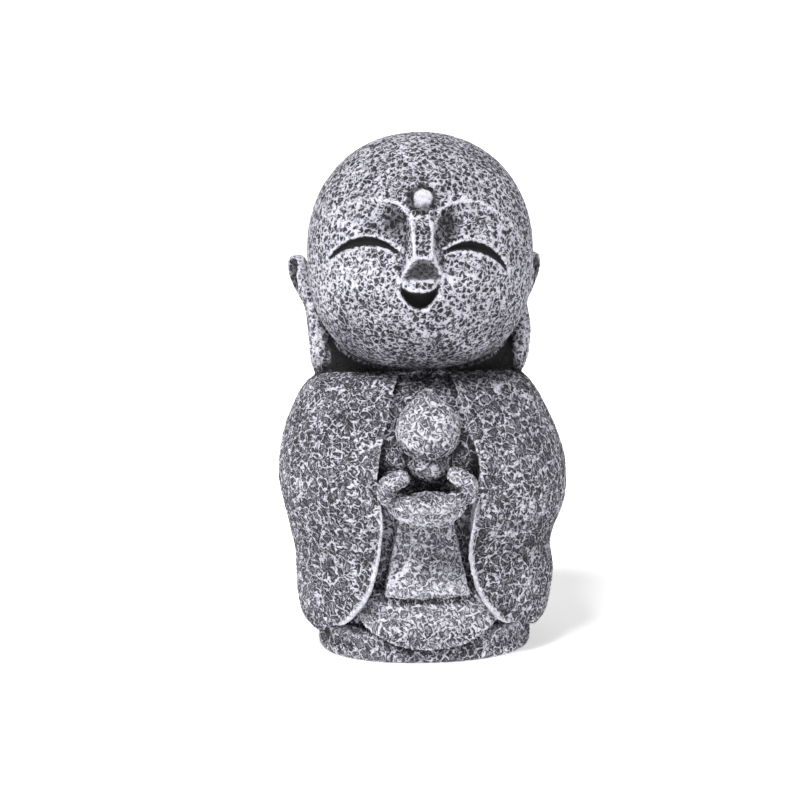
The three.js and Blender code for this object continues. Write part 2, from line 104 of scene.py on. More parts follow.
def face(hundredths):
    """Millimetres from hundredths of the head's height."""
    return np.asarray(hundredths, float) * HEAD_HALF_HEIGHT / 50


def level(hundredths):
    """Height above the ground in millimetres, from hundredths of the figure's height above the plinth."""
    return PLINTH_HEIGHT + share(hundredths)


print("one hundredth of the figure is", share(1), "mm")


# %% Smooth steps and smooth curves
def smooth_step(values, low, high):
    """0 below low, 1 above high, and t*t*(3 - 2t) between them, where t is the share of the way."""
    t = np.clip((values - low) / (high - low), 0, 1)
    return t * t * (3 - 2 * t)


def bell(distance, width):
    """1 at no distance, falling to both sides as exp(-(d/w)^2)."""
    return np.exp(-((distance / width) ** 2))


def curve_through(points, shares):
    """Points on a smooth curve. Between two given points the curve is a cubic whose slope at each of them is half
    the step from the point before it to the point after it."""
    points = np.asarray(points, float)
    last = len(points) - 1
    along = np.clip(shares, 0, 1) * last
    start = np.minimum(along.astype(int), last - 1)
    t = (along - start)[..., None]
    before, here = points[np.maximum(start - 1, 0)], points[start]
    there, after = points[start + 1], points[np.minimum(start + 2, last)]
    slope_here = (there - before) / 2
    slope_there = (after - here) / 2
    cubic = 2 * here - 2 * there + slope_here + slope_there
    square = 3 * there - 3 * here - 2 * slope_here - slope_there
    return cubic * t**3 + square * t**2 + slope_here * t + here


# %% A grid of points becomes a closed skin
def new_piece(name, points, faces):
    """A new mesh object over points in metres, with its place in its mesh."""
    mesh = bpy.data.meshes.new(name)
    mesh.from_pydata(points.tolist(), [], faces)
    made = bpy.data.objects.new(name, mesh)
    bpy.context.scene.collection.objects.link(made)
    return made


def closed_skin(name, grid):
    """A mesh object over grid[row, column]: rows run from the top down and columns anticlockwise seen from above.
    The first and last rows shrink to one point each, and a ring of triangles closes the skin there."""
    rows, columns = grid.shape[:2]
    top_point, bottom_point = grid[:1].mean((0, 1))[None], grid[-1:].mean((0, 1))[None]
    points = np.concatenate([top_point, grid[1:-1].reshape(-1, 3), bottom_point])
    rings = 1 + np.arange((rows - 2) * columns).reshape(rows - 2, columns)
    turned = np.roll(rings, -1, axis=1)
    quads = np.stack([rings[:-1], rings[1:], turned[1:], turned[:-1]], -1).reshape(-1, 4)
    top = np.stack([np.zeros(columns, int), rings[0], turned[0]], -1)
    bottom = np.stack([turned[-1], rings[-1], np.full(columns, len(points) - 1)], -1)
    return new_piece(name, points * MM, quads.tolist() + top.tolist() + bottom.tolist())


# %% [markdown]
# ## The robe
# The coat is a bell with two wide sleeves, closed at the neck and open below it. A lathe would make it round, but
# the real one is a rounded oval, so each ring follows the curve |x|^n + |y|^n = 1 with n near 2.5, which is fuller
# at the corners than an ellipse. Its depth shrinks towards the shoulders. Two soft waves model the folds of the
# sleeves.

# %% Garments carried round an oval
COAT_SQUARENESS = 2.45


def oval_reach(angle, squareness):
    """How far a rounded oval reaches: (|sin a|^n + |cos a|^n)^(-1/n)."""
    return (np.abs(np.sin(angle)) ** squareness + np.abs(np.cos(angle)) ** squareness) ** (-1 / squareness)


def garment(outline, columns, rows, width=1.0, depth=None, swell=None, lean=None):
    """An outline (half-width, height) carried round: x = reach sin a, y = -reach cos a, where reach is the
    outline's half-width, plus a swelling, times the oval's reach at the angle a."""
    along = curve_through(outline, np.linspace(0, 1, rows)[:, None])
    half, height = share(along[..., 0]), along[..., 1]
    angle = 2 * math.pi * np.arange(columns)[None, :] / columns
    reach = (half + (swell(angle, height) if swell else 0)) * oval_reach(angle, COAT_SQUARENESS)
    x = reach * width * np.sin(angle) + (lean(height) if lean else 0)
    y = -reach * (depth(height) if depth else 1) * np.cos(angle)
    return np.stack([x, y, level(height) + 0 * angle], -1)


# %% The coat
COAT_OUTLINE = [
    (0, 52.2), (9.0, 52.0), (16.5, 51.4), (21.4, 50.0), (24.2, 47.4), (26.3, 43.6), (28.2, 39.0), (29.6, 34.0),
    (30.0, 29.0), (29.3, 23.6), (27.5, 17.6), (26.8, 13.8), (27.0, 9.6), (26.7, 5.4), (26.0, 1.4), (24.6, -1.2),
    (21.5, -2.2), (0, -2.3),
]
# The coat's depth as a share of its width, what it loses over the shoulders, and the heights where it does.
SLEEVE_DEPTH = 0.79
SHOULDER_LOSS = 0.14
SHOULDER_HEIGHTS = (34, 52)
SHOULDER_LEAN = -0.7
LEAN_HEIGHTS = (30, 44)
# The folds: how proud they stand, the wave's length, a crest's height, and the elbow where they end.
FOLD_HEIGHT = 0.3
FOLD_LENGTH = 16
FOLD_CREST = 24
ELBOW = 34


def coat_depth(height):
    """The coat's depth as a share of its width: less by a smooth step over the shoulders."""
    return SLEEVE_DEPTH - SHOULDER_LOSS * smooth_step(height, *SHOULDER_HEIGHTS)


def coat_lean(height):
    """The shoulders sit a little to the viewer's left of the hem, by a smooth step of the height."""
    return share(SHOULDER_LEAN) * smooth_step(height, *LEAN_HEIGHTS)


def sleeve_folds(angle, height):
    """Waves on the sides of the sleeves: cos of the height, faded out at elbow and hem by half a sine."""
    fade = np.where((height > 0) & (height < ELBOW), np.sin(math.pi * np.clip(height / ELBOW, 0, 1)), 0)
    return share(FOLD_HEIGHT) * fade * np.sin(angle) * np.cos(2 * math.pi * (height - FOLD_CREST) / FOLD_LENGTH)


coat = closed_skin("coat", garment(COAT_OUTLINE, 420, 300, depth=coat_depth, swell=sleeve_folds, lean=coat_lean))
print("coat", len(coat.data.vertices), "points")

# %% [markdown]
# The coat's opening is narrow at the collar, widest at the hands and flares round to the hem. It is cut with a
# block whose front outline is the opening. Cutting keeps the edge crisp, which a bent grid would not.

# %% Reading a mesh as arrays
def points_of(mesh):
    """The mesh's points, a row each, in metres."""
    co = np.empty(len(mesh.vertices) * 3, np.float32)
    mesh.vertices.foreach_get("co", co)
    return co.reshape(-1, 3)


def triangles_of(mesh):
    """The mesh's faces cut into triangles: a row of three point numbers each."""
    mesh.calc_loop_triangles()
    corners = np.empty(len(mesh.loop_triangles) * 3, np.int32)
    mesh.loop_triangles.foreach_get("vertices", corners)
    return corners.reshape(-1, 3)


def keep_result(piece):
    """Replaces the piece's mesh by what its modifiers make of it."""
    made = bpy.data.meshes.new_from_object(piece.evaluated_get(bpy.context.evaluated_depsgraph_get()))
    piece.modifiers.clear()
    piece.data = made
    return made


# %% Cutting with a block
def front_block(name, outline, back):
    """A closed block whose outline, seen from the front, is a ring of points (across, height) in hundredths. It
    runs forward from y = -back to well in front of the figure."""
    count = len(outline)
    near = np.stack([share(outline[:, 0]), np.full(count, -back), level(outline[:, 1])], -1)
    far = near - np.array([0, FIGURE_HEIGHT, 0])
    ring = np.arange(count)
    turned = np.roll(ring, -1)
    sides = np.stack([ring, turned, turned + count, ring + count], -1).tolist()
    lids = [ring[::-1].tolist(), (ring + count).tolist()]
    return new_piece(name, np.concatenate([near, far]) * MM, sides + lids)


def turned_outwards(block):
    """Turns the block's faces outwards if its volume, the sum of a . (b x c) / 6 over its triangles, is less
    than 0."""
    corners = points_of(block.data)[triangles_of(block.data)]
    volume = np.einsum("ij,ij->i", corners[:, 0], np.cross(corners[:, 1], corners[:, 2])).sum() / 6
    if volume < 0:
        block.data.flip_normals()
    return block


def carve(piece, block, operation):
    """Cuts the piece with a block, or keeps only what lies inside it, and keeps the result as a plain mesh."""
    modifier = piece.modifiers.new("carve", "BOOLEAN")
    modifier.operation = operation
    modifier.solver = "MANIFOLD"
    modifier.object = turned_outwards(block)
    keep_result(piece)
    bpy.data.objects.remove(block)
    return piece


# %% The coat's opening
# Each row gives how far the opening reaches to the viewer's left and right, and at what height.
OPENING_EDGE = [
    (4.6, 4.6, 52.4), (6.4, 6.2, 48.5), (8.2, 8.0, 42.5), (9.7, 9.7, 35.8), (10.2, 10.0, 31.0), (9.6, 9.2, 25.7),
    (9.9, 8.6, 20.0), (10.7, 8.5, 14.7), (12.4, 10.1, 8.6), (15.4, 12.9, 3.9), (17.6, 15.2, 1.5), (20.2, 18.6, 0.0),
    (24.0, 23.0, -1.2), (29.0, 29.0, -2.6),
]
OPENING_BACK = 9
left_reach, right_reach, edge_height = curve_through(OPENING_EDGE, np.linspace(0, 1, 120)).T
left_edge = np.stack([-left_reach, edge_height], -1)
right_edge = np.stack([right_reach, edge_height], -1)
opening = front_block("opening", np.concatenate([left_edge, right_edge[::-1]]), share(OPENING_BACK))
carve(coat, opening, "DIFFERENCE")
print("coat with its opening", len(coat.data.vertices), "points")

# %% [markdown]
# The sleeves end in a thick rolled rim that frames the opening. On the casting it is the brightest line of the
# robe, because the brush catches it first. We lay a rod along the cut: for each point of the opening's edge, the
# coat's own formula gives how far forward its skin stands there.

# %% A rod along a line
ROD_BLUNTNESS = 4.0


def rod(name, line, side, half_side, half_across, columns=24, rows=90):
    """A closed rod round a curve: each ring is centre + a cos(t) first + b sin(t) second, where first is the given
    side made square to the line and second is square to both. Both radii shrink at the ends as
    (1 - |2s - 1|^4)^(1/2), with s the share of the way along."""
    s = (1 - np.cos(math.pi * np.linspace(0, 1, rows))) / 2
    centre = curve_through(line, s)
    even = np.linspace(0, 1, 400)
    slope = np.gradient(curve_through(line, even), axis=0)
    tangent = np.stack([np.interp(s, even, slope[:, k]) for k in range(3)], -1)
    tangent /= np.linalg.norm(tangent, axis=-1, keepdims=True)
    side = np.asarray(side, float)
    first = side - tangent * (tangent @ side)[:, None]
    first /= np.linalg.norm(first, axis=-1, keepdims=True)
    second = np.cross(first, tangent)
    blunt = np.sqrt(np.clip(1 - np.abs(2 * s - 1) ** ROD_BLUNTNESS, 0, 1))[:, None]
    a = np.interp(s, np.linspace(0, 1, len(half_side)), half_side)[:, None] * blunt
    b = np.interp(s, np.linspace(0, 1, len(half_across)), half_across)[:, None] * blunt
    angle = 2 * math.pi * np.arange(columns) / columns
    ring_a = (a * np.cos(angle))[..., None] * first[:, None, :]
    ring_b = (b * np.sin(angle))[..., None] * second[:, None, :]
    return closed_skin(name, centre[:, None, :] + ring_a + ring_b)


# %% The sleeves' rolled rims
COAT_PROFILE = curve_through(COAT_OUTLINE, np.linspace(0, 1, 800))
RIM_TOP = 27.0
RIM_BOTTOM = 0.3
RIM_RADIUS = [0.6, 1.2, 1.5, 1.7, 1.5]
RIM_SUNK = 0.35


def coat_skin(x, height):
    """How far forward the coat's skin stands: y = -R d (1 - |x/R|^n)^(1/n) for the half-width R at that height."""
    half = share(np.interp(-height, -COAT_PROFILE[:, 1], COAT_PROFILE[:, 0]))
    off = np.clip(np.abs((x - coat_lean(height)) / half), 0, 1)
    return -half * coat_depth(height) * (1 - off**COAT_SQUARENESS) ** (1 / COAT_SQUARENESS)


parts = [coat]
rim_lines = []
along_rim = (edge_height < RIM_TOP) & (edge_height > RIM_BOTTOM)
for name, reach in (("left_rim", -left_reach), ("right_rim", right_reach)):
    x, height = share(reach[along_rim][::4]), edge_height[along_rim][::4]
    line = np.stack([x, coat_skin(x, height) + RIM_SUNK, level(height)], -1)
    rim_lines.append(line[:, [0, 2]])
    parts.append(rod(name, line, (0, -1, 0), RIM_RADIUS, RIM_RADIUS))
print("rims", len(parts) - 1)

# %% [markdown]
# The inner robe fills the opening. Down its front hang two tiers of cloth: a panel that widens to a hem, and under
# it a broad bulging skirt whose hem droops over the plinth. Each is a garment of its own, trimmed by a block in
# the outline that the photograph shows.

# %% Inner robe
ROBE_FRONT = [
    (0, 51.6), (7.9, 51.2), (12.9, 49.4), (16.3, 46.5), (18.9, 42.7), (20.7, 38.4), (20.9, 34.6), (18.6, 31.0),
    (15.6, 26.5), (15.2, 20.0), (15.6, 12.0), (16.0, 5.0), (15.6, -1.5), (0, -1.5),
]
ROBE_WIDTH = 1.12
parts.append(closed_skin("inner_robe", garment(ROBE_FRONT, 220, 160, width=ROBE_WIDTH)))
print("inner robe", len(parts[-1].data.vertices), "points")

# %% The two tiers
APRON_FRONT = [(0, 30.0), (14.5, 29.0), (16.6, 24.0), (17.6, 15.0), (18.6, 6.2), (0, 5.2)]
HEM_REACH = 37.4 / FIGURE_HEIGHT * 100
SKIRT_FRONT = [(0, 9.6), (14.0, 9.0), (17.6, 6.6), (19.3, 3.0), (HEM_REACH, -1.0), (HEM_REACH, -4.6), (0, -5.0)]
TIER_WIDTH = 1.25
# The skirt's hem starts at this height and droops over this share of the plinth at its middle.
HEM_START = 2.2
HEM_DROOP = 0.55
HEM_HANDLE = (-4 * HEM_DROOP * PLINTH_HEIGHT / FIGURE_HEIGHT * 100 - HEM_START) / 3


def bezier(first, first_handle, last_handle, last, steps=40):
    """A curve pulled by two handles: (1-t)^3 A + 3 (1-t)^2 t B + 3 (1-t) t^2 C + t^3 D."""
    t = np.linspace(0, 1, steps)[:, None]
    a, b, c, d = (np.asarray(p, float) for p in (first, first_handle, last_handle, last))
    return (1 - t) ** 3 * a + 3 * (1 - t) ** 2 * t * b + 3 * (1 - t) * t**2 * c + t**3 * d


apron_hem = bezier((-9.4, 7.0), (-3.4, 5.8), (2.6, 5.8), (8.6, 7.0))
skirt_hem = bezier((-14.5, HEM_START), (-9.4, HEM_HANDLE), (9.4, HEM_HANDLE), (14.5, HEM_START))
TIERS = {
    "apron": (APRON_FRONT, (-5.3, 27.0), apron_hem, (4.5, 27.0)),
    "skirt": (SKIRT_FRONT, (-14.5, 8.2), skirt_hem, (14.5, 8.2)),
}
for name, (outline, top_left, hem, top_right) in TIERS.items():
    tier = closed_skin(name, garment(outline, 260, 120, width=TIER_WIDTH))
    ring = np.concatenate([[top_left], hem, [top_right]])
    parts.append(carve(tier, front_block(name + "_cut", ring, 0), "INTERSECT"))
print("robe in", len(parts), "forms")

# %% [markdown]
# ## The plinth
# An oval slab, about 83 by 73 mm, with softly rounded edges. It is a profile carried round an oval, like a garment.

# %% Plinth
PLINTH_WIDTH = 83.4
PLINTH_DEPTH = 73.0
PLINTH_EDGE = 3.0
PLINTH_SQUARENESS = 2.2


def plinth_grid(columns=320):
    """The profile (distance, height) goes out along the top, round two quarter circles and back along the bottom.
    Each ring is stretched to the oval: x = r reach sin a, y = -r reach cos a times depth over width."""
    quarter = np.linspace(0, math.pi / 2, 9)
    flat = PLINTH_WIDTH / 2 - PLINTH_EDGE
    out = np.concatenate([
        [0, flat / 2],
        flat + PLINTH_EDGE * np.sin(quarter),
        flat + PLINTH_EDGE * np.cos(quarter),
        [flat / 2, 0],
    ])
    up = np.concatenate([
        [PLINTH_HEIGHT] * 2,
        PLINTH_HEIGHT - PLINTH_EDGE + PLINTH_EDGE * np.cos(quarter),
        PLINTH_EDGE * (1 - np.sin(quarter)),
        [0, 0],
    ])
    angle = 2 * math.pi * np.arange(columns)[None, :] / columns
    reach = out[:, None] * oval_reach(angle, PLINTH_SQUARENESS)
    y = -reach * np.cos(angle) * PLINTH_DEPTH / PLINTH_WIDTH
    return np.stack([reach * np.sin(angle), y, up[:, None] + 0 * angle], -1)


parts.append(closed_skin("plinth", plinth_grid()))
print("plinth", len(parts[-1].data.vertices), "points")

# %% [markdown]
# ## The head
# The head is an egg with full cheeks, tipped back ten degrees. Seen along its own axis, everything on the face is a
# height above the egg: soft sockets and cheeks, a wedge of a nose, two raised brow lines that run on down the sides
# of the nose, a round mark, and the slits of the laughing eyes and the open mouth. So the face is one height map
# over across and up, added to the egg's forward direction. The grid is crowded towards the front, where the detail
# is.

# %% The egg
HEAD_HALF_WIDTH = share(23.3)
HEAD_HALF_DEPTH = share(22.6)
CROWN_FULLNESS = 2.12
JAW_FULLNESS = 2.45
FRONT_CROWDING = 0.4


def egg_measure(x, y, z, power):
    """((x^2/a^2 + y^2/b^2)^(f/2) + |z/c|^f)^(power/f), with a fuller f for the jaw than for the crown. For power 1
    it is how far out a point is, as a share of the egg's reach in that direction, and for -1 its inverse."""
    around = np.hypot(x / HEAD_HALF_WIDTH, y / HEAD_HALF_DEPTH)
    full = np.where(z > 0, CROWN_FULLNESS, JAW_FULLNESS)
    return (around**full + np.abs(z / HEAD_HALF_HEIGHT) ** full) ** (power / full)


def egg_grid(columns, rows):
    """Directions round the head, each scaled to the egg. Columns are crowded forward: a = t - k sin t."""
    t = 2 * math.pi * np.arange(columns)[None, :] / columns
    angle = t - FRONT_CROWDING * np.sin(t)
    polar = math.pi * np.linspace(0, 1, rows)[:, None]
    x = np.sin(polar) * np.sin(angle)
    y = -np.sin(polar) * np.cos(angle)
    z = np.cos(polar) + 0 * angle
    reach = egg_measure(x, y, z, -1)
    return x * reach, y * reach, z * reach


def egg_forward(x, z):
    """How far forward a plain ellipsoid of the head's size stands at (x, z)."""
    left_over = 1 - (x / HEAD_HALF_WIDTH) ** 2 - (z / HEAD_HALF_HEIGHT) ** 2
    return HEAD_HALF_DEPTH * np.sqrt(np.clip(left_over, 0, 1))


# %% Soft forms of the face
# Each form's height, the middle of its oval, and the oval's half-width and half-height: the cheeks, the chin, the
# eye sockets and the hollows beside the nose's root.
SOFT_FORMS = [
    (1.6, (22, -12), (17, 14)),
    (1.2, (0, -21), (15, 9)),
    (-3.0, (17, 11.5), (16, 10)),
    (-2.2, (10.5, 7), (8, 12)),
]


def swelling(x, z, at, half):
    """A soft bump on both sides of the face: (1 - dx^2 - dz^2)^2 inside an oval, 0 outside it."""
    across = (np.abs(x) - face(at[0])) / face(half[0])
    up = (z - face(at[1])) / face(half[1])
    return np.clip(1 - across**2 - up**2, 0, 1) ** 2


def distance_to_line(x, z, line):
    """The distance from each (x, z) to the nearest piece of a line of points, all in millimetres."""
    nearest = np.full(x.shape, np.inf)
    for (x0, z0), (x1, z1) in zip(line[:-1], line[1:]):
        dx, dz = x1 - x0, z1 - z0
        t = np.clip(((x - x0) * dx + (z - z0) * dz) / (dx**2 + dz**2), 0, 1)
        nearest = np.minimum(nearest, np.hypot(x - x0 - t * dx, z - z0 - t * dz))
    return nearest


# %% The nose is a wedge
NOSE_X = -0.3
NOSE_ROOT = (4.4, 0.2, 19.0)
NOSE_TIP = (3.7, 7.8, -6.0)
NOSE_WING = (10.2, 0.4, -14.4)
NOSE_REACH = 12


def nose_forward(x, z):
    """The wedge's front: the least of three planes, the bridge, the underside and the side nearest to x. Each
    plane passes through three of the corners at the root, the tip and the wing."""
    corner = {}
    for name, (half, proud, up) in {"root": NOSE_ROOT, "tip": NOSE_TIP, "wing": NOSE_WING}.items():
        corner[name] = np.array([face(half), egg_forward(face(half), face(up)) + face(proud), face(up)])
    off = np.abs(x - face(NOSE_X))
    middle = {name: point * np.array([0, 1, 1]) for name, point in corner.items()}

    def plane(a, b, c):
        normal = np.cross(b - a, c - a)
        return a[1] - (normal[0] * (off - a[0]) + normal[2] * (z - a[2])) / normal[1]

    bridge = plane(corner["root"], corner["tip"], middle["tip"])
    under = plane(corner["tip"], corner["wing"], middle["wing"])
    side = plane(corner["root"], corner["tip"], corner["wing"])
    return np.minimum(np.minimum(bridge, under), side)


# %% Slits: the eyes and the mouth
# Each slit's two ends, how high its upper and lower arcs rise over them, and how full the arcs are at the ends.
EYES = [((-40.4, -7.9), (-7.8, -5.9), 11.1, 7.1, 0.6), ((5.8, -5.6), (35.9, -13.6), 10.9, 6.9, 0.6)]
MOUTH = ((-10.2, -14.9), (7.0, -15.0), -4.4, -11.3, 0.72)


def slit(x, z, ends_and_arcs):
    """How deep inside a crescent each (x, z) lies, in millimetres, and negative outside it. The crescent is
    between two arcs that share their ends, and the depth is the lesser distance up or down to an arc."""
    first, last, upper, lower, full = ends_and_arcs
    first, last = face(first), face(last)
    middle = (first + last) / 2
    across = last - first
    up = np.array([-across[1], across[0]]) / np.hypot(*across)
    inside = []
    for height_of_arc, sign in ((upper, 1), (lower, -1)):
        handle = 4 / 3 * face(height_of_arc) * up
        first_handle = middle + (first - middle) * full + handle
        last_handle = middle + (last - middle) * full + handle
        arc = bezier(first, first_handle, last_handle, last, 200)
        slope = np.gradient(arc[:, 1], arc[:, 0])
        steep = 1 / np.hypot(1, np.interp(x, arc[:, 0], slope))
        inside.append(sign * (np.interp(x, arc[:, 0], arc[:, 1]) - z) * steep)
    ends = np.minimum(x - first[0], last[0] - x)
    return np.minimum(np.minimum(*inside), ends)


# %% Raised lines of the face
BROW_LINES = [
    [(-39.0, 14.0), (-29.2, 18.4), (-20.2, 19.6), (-15.0, 18.9), (-9.8, 17.5), (-5.6, 13.0), (-4.6, 9.5),
     (-3.9, 3.0), (-3.9, -4.0)],
    [(38.0, 8.0), (31.0, 14.2), (23.9, 18.1), (17.6, 18.4), (11.0, 16.7), (7.2, 13.9), (4.9, 7.3),
     (3.9, 2.8), (3.5, -4.0)],
]
BROW_HALF_WIDTH = 0.85
BROW_HEIGHT = 0.9
# The upper lip, the nose's tip, and the two edges from the tip to the wings.
LIP_AND_NOSE_LINES = [
    [(-9.9, -14.6), (6.7, -14.7)],
    [(-3.6, -3.5), (-3.3, -5.3), (3.2, -5.4), (4.0, -3.7)],
    [(-3.6, -4.5), (-5.7, -7.0), (-8.6, -13.2)],
    [(4.2, -4.4), (6.0, -8.9), (8.2, -14.0)],
]
LINE_HALF_WIDTH = 0.6
LINE_HEIGHT = 0.5
# The round mark: its middle across and up, its radius, and how proud it stands.
MARK = (0.4, 18.9, 4.3, 2.4)
# How deep each kind of slit is, and how wide the slope of its wall and the rolled lid beside it are.
EYE_CUT = (2.6, 0.9, 0.45)
MOUTH_CUT = (5.0, 1.2, 0.5)
LID_HEIGHT = 0.35
LID_PLACE = 0.55


# %% The face as one height map
def face_map(x, z, forward):
    """The head's forward distance with the face on it: soft forms are added, the nose and the mark are whichever
    stands further forward, raised lines are added as exp(-(d/w)^2), and the slits are taken away."""
    front = np.sqrt(np.clip(forward / HEAD_HALF_DEPTH, 0, 1))
    made = forward + front * sum(face(proud) * swelling(x, z, at, half) for proud, at, half in SOFT_FORMS)
    at_nose_height = (z < face(NOSE_ROOT[2])) & (z > face(NOSE_WING[2] - 1))
    on_nose = (forward > 0) & at_nose_height & (np.abs(x) < face(NOSE_REACH))
    made = np.where(on_nose, np.maximum(made, nose_forward(x, z)), made)
    for line in BROW_LINES:
        made = made + front * BROW_HEIGHT * bell(distance_to_line(x, z, face(line)), BROW_HALF_WIDTH)
    for line in LIP_AND_NOSE_LINES:
        made = made + front * LINE_HEIGHT * bell(distance_to_line(x, z, face(line)), LINE_HALF_WIDTH)
    mark_x, mark_z, radius, proud = MARK
    inside = 1 - ((x - face(mark_x)) ** 2 + (z - face(mark_z)) ** 2) / face(radius) ** 2
    dome = egg_forward(face(mark_x), face(mark_z)) + face(proud) * np.sqrt(np.clip(inside, 0, 1))
    made = np.where((inside > 0) & (forward > 0), np.maximum(made, dome), made)
    for crescent, (depth, wall, lid) in ((EYES[0], EYE_CUT), (EYES[1], EYE_CUT), (MOUTH, MOUTH_CUT)):
        deep = slit(x, z, crescent)
        made = made - depth * smooth_step(deep, -0.1, wall) * (forward > 0)
        made = made + LID_HEIGHT * bell(deep + LID_PLACE, lid) * (forward > 0)
    return made


# %% Setting the head on the shoulders
HEAD_TILT = math.radians(10)
HEAD_TURN = math.radians(-2)
HEAD_CENTRE = np.array([0, -share(1.2), level(75.7)])
TIP_BACK = np.array([
    [1, 0, 0],
    [0, math.cos(HEAD_TILT), math.sin(HEAD_TILT)],
    [0, -math.sin(HEAD_TILT), math.cos(HEAD_TILT)],
])
TURN = np.array([
    [math.cos(HEAD_TURN), -math.sin(HEAD_TURN), 0],
    [math.sin(HEAD_TURN), math.cos(HEAD_TURN), 0],
    [0, 0, 1],
])
TURN_AND_TIP = TURN @ TIP_BACK

x, y, z = egg_grid(600, 420)
y = -face_map(x, z, -y)
head = np.stack([x, y, z], -1) @ TURN_AND_TIP.T + HEAD_CENTRE
parts.append(closed_skin("head", head))
print("head", head.shape[0] * head.shape[1], "points")

# %% [markdown]
# ## Ears and nape
# The ears are long, as on every figure of this kind, with heavy lobes that rest on the shoulders. Each is a rod
# whose section is broad and flat at the top and round at the lobe, with a hollow scooped out of its upper half. It
# grows from a small root, and a plain oval nape carries the head and backs the shadowed gap behind the jaw.

# %% Ears
# Each row gives the ear's reach to the viewer's left and to the right, and how far back and up from the head's
# middle it is.
EAR_LINE = np.array([
    (25.5, 23.5, 9.0, -1.4), (24.9, 22.9, 8.0, -5.4), (22.4, 20.6, 6.4, -11.3), (21.1, 20.7, 4.6, -17.4),
    (20.9, 19.8, 2.8, -26.0),
])
EAR_HALF_THICKNESS = share([2.7, 2.6, 1.9, 2.5, 2.9])
EAR_HALF_BREADTH = share([3.4, 4.6, 3.8, 3.3, 3.4])
# The hollow: its share of the way down the ear, how far out its middle is, its turn to the front, its radii.
HOLLOW_ALONG = 0.27
HOLLOW_OUT = 2.6
HOLLOW_TURN = math.radians(32)
HOLLOW_RADII = share([1.7, 2.9, 4.6])


def ball_grid(radii, columns=64, rows=48):
    """An ellipsoid: x = a sin p sin t, y = -b sin p cos t, z = c cos p."""
    t = 2 * math.pi * np.arange(columns)[None, :] / columns
    p = math.pi * np.linspace(0, 1, rows)[:, None]
    x = radii[0] * np.sin(p) * np.sin(t)
    y = -radii[1] * np.sin(p) * np.cos(t)
    return np.stack([x, y, radii[2] * np.cos(p) + 0 * t], -1)


hollows = []
for side in (-1, 1):
    reach = EAR_LINE[:, 0 if side < 0 else 1]
    line = share(np.stack([side * reach, EAR_LINE[:, 2], EAR_LINE[:, 3]], -1)) @ TURN.T + HEAD_CENTRE
    ear = rod("ear", line, (0, -1, 0), EAR_HALF_BREADTH, EAR_HALF_THICKNESS, columns=64, rows=120)
    out = np.array([side * math.cos(HOLLOW_TURN), -math.sin(HOLLOW_TURN), 0])
    along = np.array([-out[1], out[0], 0])
    ball = ball_grid(HOLLOW_RADII)
    turned = ball[..., :1] * out + ball[..., 1:2] * along + ball[..., 2:] * np.array([0, 0, 1])
    middle = curve_through(line, np.array([HOLLOW_ALONG]))[0] + share(HOLLOW_OUT) * out
    hollows.append((middle, out, along))
    parts.append(carve(ear, closed_skin("ear_hollow", turned + middle), "DIFFERENCE"))
print("ears on, forms:", len(parts))

# %% Nape and the ears' roots
NAPE_MIDDLE = np.array([0, share(3.6), level(53)])
nape = ball_grid(share([20.2, 11.5, 11.2]), 120, 80)
parts.append(closed_skin("nape", nape + NAPE_MIDDLE))
for side in (-1, 1):
    ear_root = ball_grid(share([2.7, 4.2, 5.4])) + np.array([side * share(19.4), share(5.0), level(60)])
    parts.append(closed_skin("ear_root", ear_root))
print("nape and roots in, forms:", len(parts))

# %% [markdown]
# ## The jewel and the hands
# The wishing jewel is a ball drawn up to a small point and leaning on the chest. The hands hold it from below: two
# rows of fingers make a bowl, a palm fills it, and the thumbs rise from its ends and bend in towards the jewel,
# which rests on a small rounded seat between them.

# %% Jewel
JEWEL_RADIUS = 6.7
JEWEL_POINT = 2.2
POINT_SHARPNESS = 14
JEWEL_MIDDLE = np.array([0, -share(20.2), level(41.7)])
JEWEL_LEAN = math.radians(12)


def jewel_grid(columns=120, rows=110):
    """A ball whose height gains a cos(p)^14 near the top, which pulls out a point. Rows are crowded to the top."""
    t = 2 * math.pi * np.arange(columns)[None, :] / columns
    p = math.pi * np.linspace(0, 1, rows)[:, None] ** 1.35
    drawn = share(JEWEL_POINT) * np.clip(np.cos(p), 0, 1) ** POINT_SHARPNESS
    radius = share(JEWEL_RADIUS)
    x = radius * np.sin(p) * np.sin(t)
    y = -radius * np.sin(p) * np.cos(t)
    z = radius * np.cos(p) + drawn + 0 * t
    lean_y = y * math.cos(JEWEL_LEAN) + z * math.sin(JEWEL_LEAN)
    lean_z = z * math.cos(JEWEL_LEAN) - y * math.sin(JEWEL_LEAN)
    return np.stack([x, lean_y, lean_z], -1) + JEWEL_MIDDLE


parts.append(closed_skin("jewel", jewel_grid()))
print("jewel", len(parts[-1].data.vertices), "points")

# %% Fingers and thumbs
HANDS_MIDDLE = -0.5
# Half the row's span, its height, how far its middle sags, how far forward it reaches, and its half-thickness.
FINGER_ROWS = {"upper_fingers": (8.2, 30.9, 3.8, 26.5, 2.2), "lower_fingers": (7.6, 28.3, 3.6, 25.8, 1.85)}
FINGER_TURN = 82
FINGER_BACK = 20
THUMB_ROOT = (7.8, 22.4, 27.6)
THUMB_BEND = (7.9, 25.4, 31.6)
THUMB_TIPS = {"left_thumb": (-1, (3.5, 25.6, 33.7)), "right_thumb": (1, (3.8, 25.4, 34.4))}
THUMB_HALF_THICKNESS = share([2.5, 2.1])


def hand_points(points):
    """Points from hundredths across, forward and up. The hands' middle is half a hundredth to the viewer's left."""
    points = np.asarray(points, float)
    return np.stack([share(points[:, 0] + HANDS_MIDDLE), -share(points[:, 1]), level(points[:, 2])], -1)


